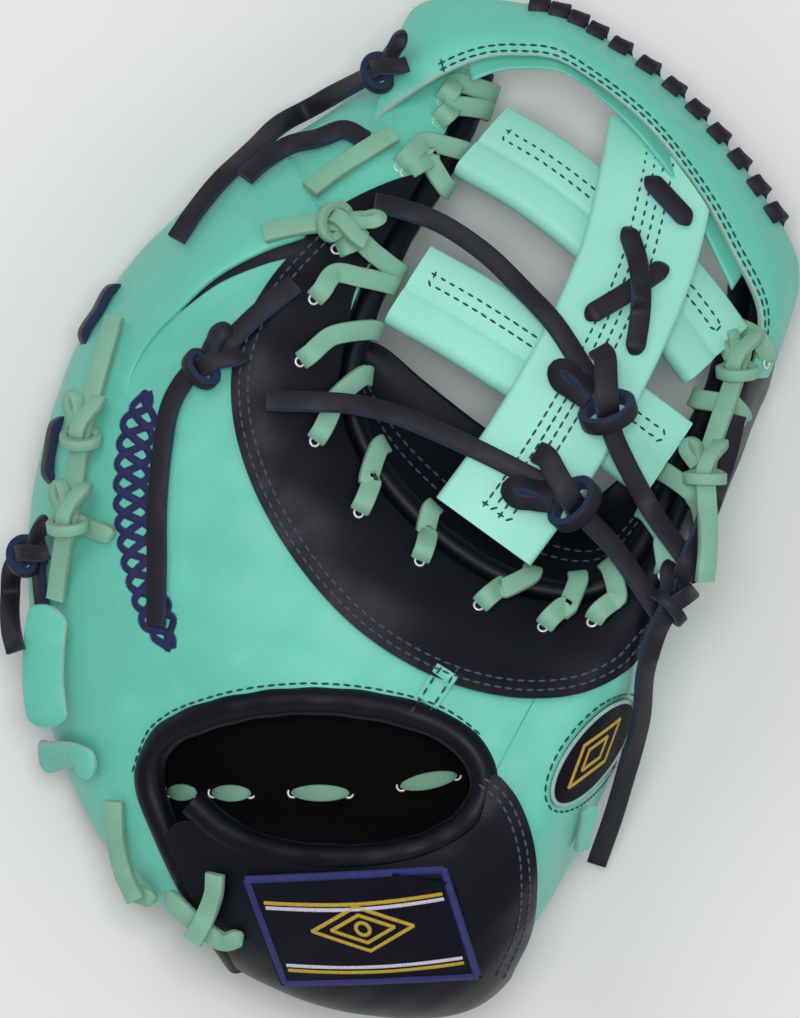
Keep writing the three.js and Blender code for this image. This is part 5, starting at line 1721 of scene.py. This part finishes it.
def on_leather(line, inset):
    """A sewn row beside a plan line, as far as there is leather under it."""
    points, ways = draped(offset_line(smooth(line, 1.0), inset)[::6], 1.0, 0.0)
    held = points[:, 2] > LEATHER_LOW
    return points[held], ways[held]


def make_stitches():
    """Sewing threads on the leathers."""
    dark, navy = FINISHES["thread_dark"], FINISHES["thread_navy"]
    rows = [on_leather(CRESCENT_BORDER, -inset) for inset in (2.6, 5.4)]
    done(leather_stitches("crescent_stitches", rows, navy), "navy_leather")
    rows = [on_leather(BINDING[3:10], -WRIST_ROLL - 0.9)]
    rows += [draped(SEAM_STRIP + np.array([dx, 0, 0]), 1.0, 0.1) for dx in (-2.8, 2.8)]
    ring = badge_ring(-1.6)
    rows.append(draped(np.vstack([ring, ring[:1]])[::4], 1.0, 0.0))
    done(leather_stitches("opening_stitches", rows, dark), "mint_leather")
    rows = [on_leather(STRAP_OUTLINE[7:13], inset) for inset in (2.6, 5.2)]
    done(leather_stitches("strap_stitches", rows, navy), "navy_leather")
    rows = []
    for inset in (2.0, 4.4):
        t = np.linspace(0.17, 0.93, 240)
        width = np.linalg.norm(flap_face(t, np.ones_like(t)) - flap_face(t, np.zeros_like(t)), axis=1)
        points, ways = on_face(flap_face, t, inset / width, FLAP_THICKNESS * FLAP_SIDE["up"])
        rows.append((points, ways * FLAP_SIDE["up"]))
    (near, ways), (far, _) = rows
    rows.append((even(np.array([near[0], far[0]]), 1.2), np.tile(ways[0], (3, 1))))
    for bar in (UPPER_BAR, LOWER_BAR):
        points, ways = leaning(bar["line"], bar["tilt"])
        line = boxed(points, ways, -6.4, -3.0, BAR["thickness"] / 2 + 0.1, 4)
        rows.append((line[:, :3], line[:, 3:]))
    points, ways = post_line()
    for low, high in ((-4.8, -1.7), (1.2, 4.3)):
        line = boxed(points, ways, low, high, POST["thickness"] / 2, 5)
        rows.append((line[:, :3], line[:, 3:]))
    done(leather_stitches("web_stitches", rows, dark), "mint_leather")


def patch_place(u, v):
    """A place on the patch: u across and v down, as shares."""
    top = PATCH[0] + (PATCH[1] - PATCH[0]) * u
    low = PATCH[3] + (PATCH[2] - PATCH[3]) * u
    return top + (low - top) * v


BRAID = places([[18.6, 38.6], [17.2, 43.5], [16.8, 49], [17.6, 54.5], [19.6, 60], [21.6, 63.6]])
BRAID_SWING = 5.4
BRAID_TURNS = 4.5


def make_embroidery():
    """Whipped borders, stripes and motifs, and the braid on the finger side."""
    centre = PATCH.mean(axis=0)
    inner = PATCH + unit(centre - PATCH) * 1.7
    sides = [draped(even(np.array([a, b]), 4.0), 0.5, 0.0) for a, b in zip(inner, np.roll(inner, -1, axis=0))]
    done(satin("patch_border", sides, FINISHES["border"], 3.0), "patch_cloth")
    gold, white = [], []
    for first, second, bow in ((0.22, 0.265, 0.06), (0.84, 0.795, 0.05)):
        for v, into in ((first, gold), (second, white)):
            across = np.linspace(0.07, 0.93, 9)
            line = np.array([patch_place(u, v + bow * math.sin(math.pi * u)) for u in across])
            into.append(draped(line, 0.5, 0.0))
    turn = np.linspace(0, 2 * math.pi, 37)
    middle = patch_place(0.5, 0.5)
    across, down = unit(PATCH[1] - PATCH[0]), unit(PATCH[3] - PATCH[0])
    corners = [(0, -7.5), (16, 0), (0, 7.5), (-16, 0), (0, -7.5)]
    for grow in (1.0, 0.62):
        diamond = np.array([middle + across * x * grow + down * y * grow for x, y in corners])
        gold += [draped(even(diamond[i:i + 2], 1.5), 0.5, 0.0) for i in range(4)]
    ball = np.array([middle + across * 2.1 * math.cos(a) + down * 2.1 * math.sin(a) for a in turn])
    gold.append(draped(ball, 0.4, 0.0))
    done(satin("patch_gold", gold, FINISHES["gold"], 1.5), "patch_cloth")
    done(satin("patch_white", white, FINISHES["white"], 1.5), "patch_cloth")
    edge = badge_ring(0.8)
    edge = np.vstack([edge, edge[:1]])
    done(satin("badge_border", [draped(edge[::4], 0.5, 0.0)], FINISHES["mint_edge"], 1.6), "patch_cloth")
    c, s = math.cos(BADGE["turn"]), math.sin(BADGE["turn"])
    long_way, short_way = np.array([c, s, 0]), np.array([-s, c, 0])
    lines = []
    for grow in (1.0, 0.5):
        spots = [(0, -4.2), (13.5, 0), (0, 4.2), (-13.5, 0), (0, -4.2)]
        mark = np.array([BADGE_CENTRE + long_way * x * grow + short_way * y * grow for x, y in spots])
        lines += [draped(even(mark[i:i + 2], 1.2), 0.5, 0.0) for i in range(4)]
    done(satin("badge_gold", lines, FINISHES["gold"], 1.4), "patch_cloth")
    spine = smooth(BRAID)
    side = np.cross(tangents(spine), UP)
    far = np.linspace(0, 1, len(spine))
    braid = []
    for phase in (0.0, 2 * math.pi / 3, 4 * math.pi / 3):
        narrowing = np.minimum(1, 8 * np.minimum(far, 1 - far) + 0.15)
        swing = BRAID_SWING * np.sin(far * 2 * math.pi * BRAID_TURNS + phase) * narrowing
        braid.append(draped((spine + side * swing[:, None])[::3], 0.5, 0.0))
    done(satin("finger_braid", braid, FINISHES["braid"], 3.0), "patch_cloth")


# The add-on.
class MITT_OT_stage(bpy.types.Operator):
    """Camera straight above, soft light and a pale floor"""

    bl_idname = "mitt.stage"
    bl_label = "Stage"

    def execute(self, context):
        make_stage()
        return {"FINISHED"}


class MITT_OT_pocket(bpy.types.Operator):
    """The padded pocket, its facing and the hand's lining"""

    bl_idname = "mitt.pocket"
    bl_label = "Pocket"

    def execute(self, context):
        make_pocket()
        return {"FINISHED"}


class MITT_OT_hand_leathers(bpy.types.Operator):
    """The back's two leathers, the crescent and the seam strip"""

    bl_idname = "mitt.hand_leathers"
    bl_label = "Back leathers"

    def execute(self, context):
        make_hand_leathers()
        return {"FINISHED"}


class MITT_OT_fold(bpy.types.Operator):
    """The outer band's lip and the navy sliver beneath it"""

    bl_idname = "mitt.fold"
    bl_label = "Fold"

    def execute(self, context):
        make_fold()
        return {"FINISHED"}


class MITT_OT_rolls(bpy.types.Operator):
    """The rolls of the crotch and of the hand opening"""

    bl_idname = "mitt.rolls"
    bl_label = "Rolled bindings"

    def execute(self, context):
        make_rolls()
        return {"FINISHED"}


class MITT_OT_crotch_slope(bpy.types.Operator):
    """The navy leather inside the crotch"""

    bl_idname = "mitt.crotch_slope"
    bl_label = "Crotch slope"

    def execute(self, context):
        make_crotch_slope()
        return {"FINISHED"}


class MITT_OT_strap(bpy.types.Operator):
    """The wrist strap, its patch and the thumb's badge"""

    bl_idname = "mitt.strap"
    bl_label = "Strap, patch and badge"

    def execute(self, context):
        make_strap()
        return {"FINISHED"}


class MITT_OT_web(bpy.types.Operator):
    """The post, two bars, the flap and its fold"""

    bl_idname = "mitt.web"
    bl_label = "Web"

    def execute(self, context):
        make_web()
        return {"FINISHED"}


class MITT_OT_whips(bpy.types.Operator):
    """Laces that whip over the edges, and the pale rims that paint a glint of light at their holes"""

    bl_idname = "mitt.whips"
    bl_label = "Whip laces"

    def execute(self, context):
        make_whips()
        return {"FINISHED"}


class MITT_OT_tabs(bpy.types.Operator):
    """Small straps at the rim and at the thumb"""

    bl_idname = "mitt.tabs"
    bl_label = "Tabs"

    def execute(self, context):
        make_tabs()
        return {"FINISHED"}


class MITT_OT_stitches(bpy.types.Operator):
    """Sewing threads on the leathers"""

    bl_idname = "mitt.stitches"
    bl_label = "Stitches"

    def execute(self, context):
        make_stitches()
        return {"FINISHED"}


class MITT_OT_embroidery(bpy.types.Operator):
    """Borders, stripes, motifs and the braid"""

    bl_idname = "mitt.embroidery"
    bl_label = "Embroidery"

    def execute(self, context):
        make_embroidery()
        return {"FINISHED"}


class MITT_OT_laces(bpy.types.Operator):
    """Laces laid over the mitt, their knots and free tails"""

    bl_idname = "mitt.laces"
    bl_label = "Laid laces"

    def execute(self, context):
        make_laces()
        return {"FINISHED"}


OPERATORS = [
    MITT_OT_stage, MITT_OT_pocket, MITT_OT_hand_leathers, MITT_OT_fold, MITT_OT_rolls,
    MITT_OT_crotch_slope, MITT_OT_strap, MITT_OT_web, MITT_OT_whips, MITT_OT_tabs,
    MITT_OT_stitches, MITT_OT_embroidery, MITT_OT_laces,
]


class MITT_PT_panel(bpy.types.Panel):
    """The mitt's pieces and settings."""

    bl_idname = "MITT_PT_panel"
    bl_label = "First baseman mitt"
    bl_space_type = "VIEW_3D"
    bl_region_type = "UI"
    bl_category = "Mitt"

    def draw(self, context):
        for group in (context.scene.mitt_sizes, context.scene.mitt_colours):
            box = self.layout.box()
            for name in group.bl_rna.properties.keys():
                if name not in ("rna_type", "name"):
                    box.prop(group, name)
        for kind in OPERATORS:
            self.layout.operator(kind.bl_idname)


CLASSES = [MITT_PG_sizes, MITT_PG_colours, *OPERATORS, MITT_PT_panel]


def register():
    for kind in CLASSES:
        bpy.utils.register_class(kind)
    bpy.types.Scene.mitt_sizes = bpy.props.PointerProperty(type=MITT_PG_sizes)
    bpy.types.Scene.mitt_colours = bpy.props.PointerProperty(type=MITT_PG_colours)


def unregister():
    del bpy.types.Scene.mitt_colours
    del bpy.types.Scene.mitt_sizes
    for kind in reversed(CLASSES):
        bpy.utils.unregister_class(kind)


def main():
    register()
    make_finishes(bpy.context.scene)
    for kind in OPERATORS:
        getattr(bpy.ops.mitt, kind.bl_idname.split(".")[1])()


if __name__ == "__main__":
    main()
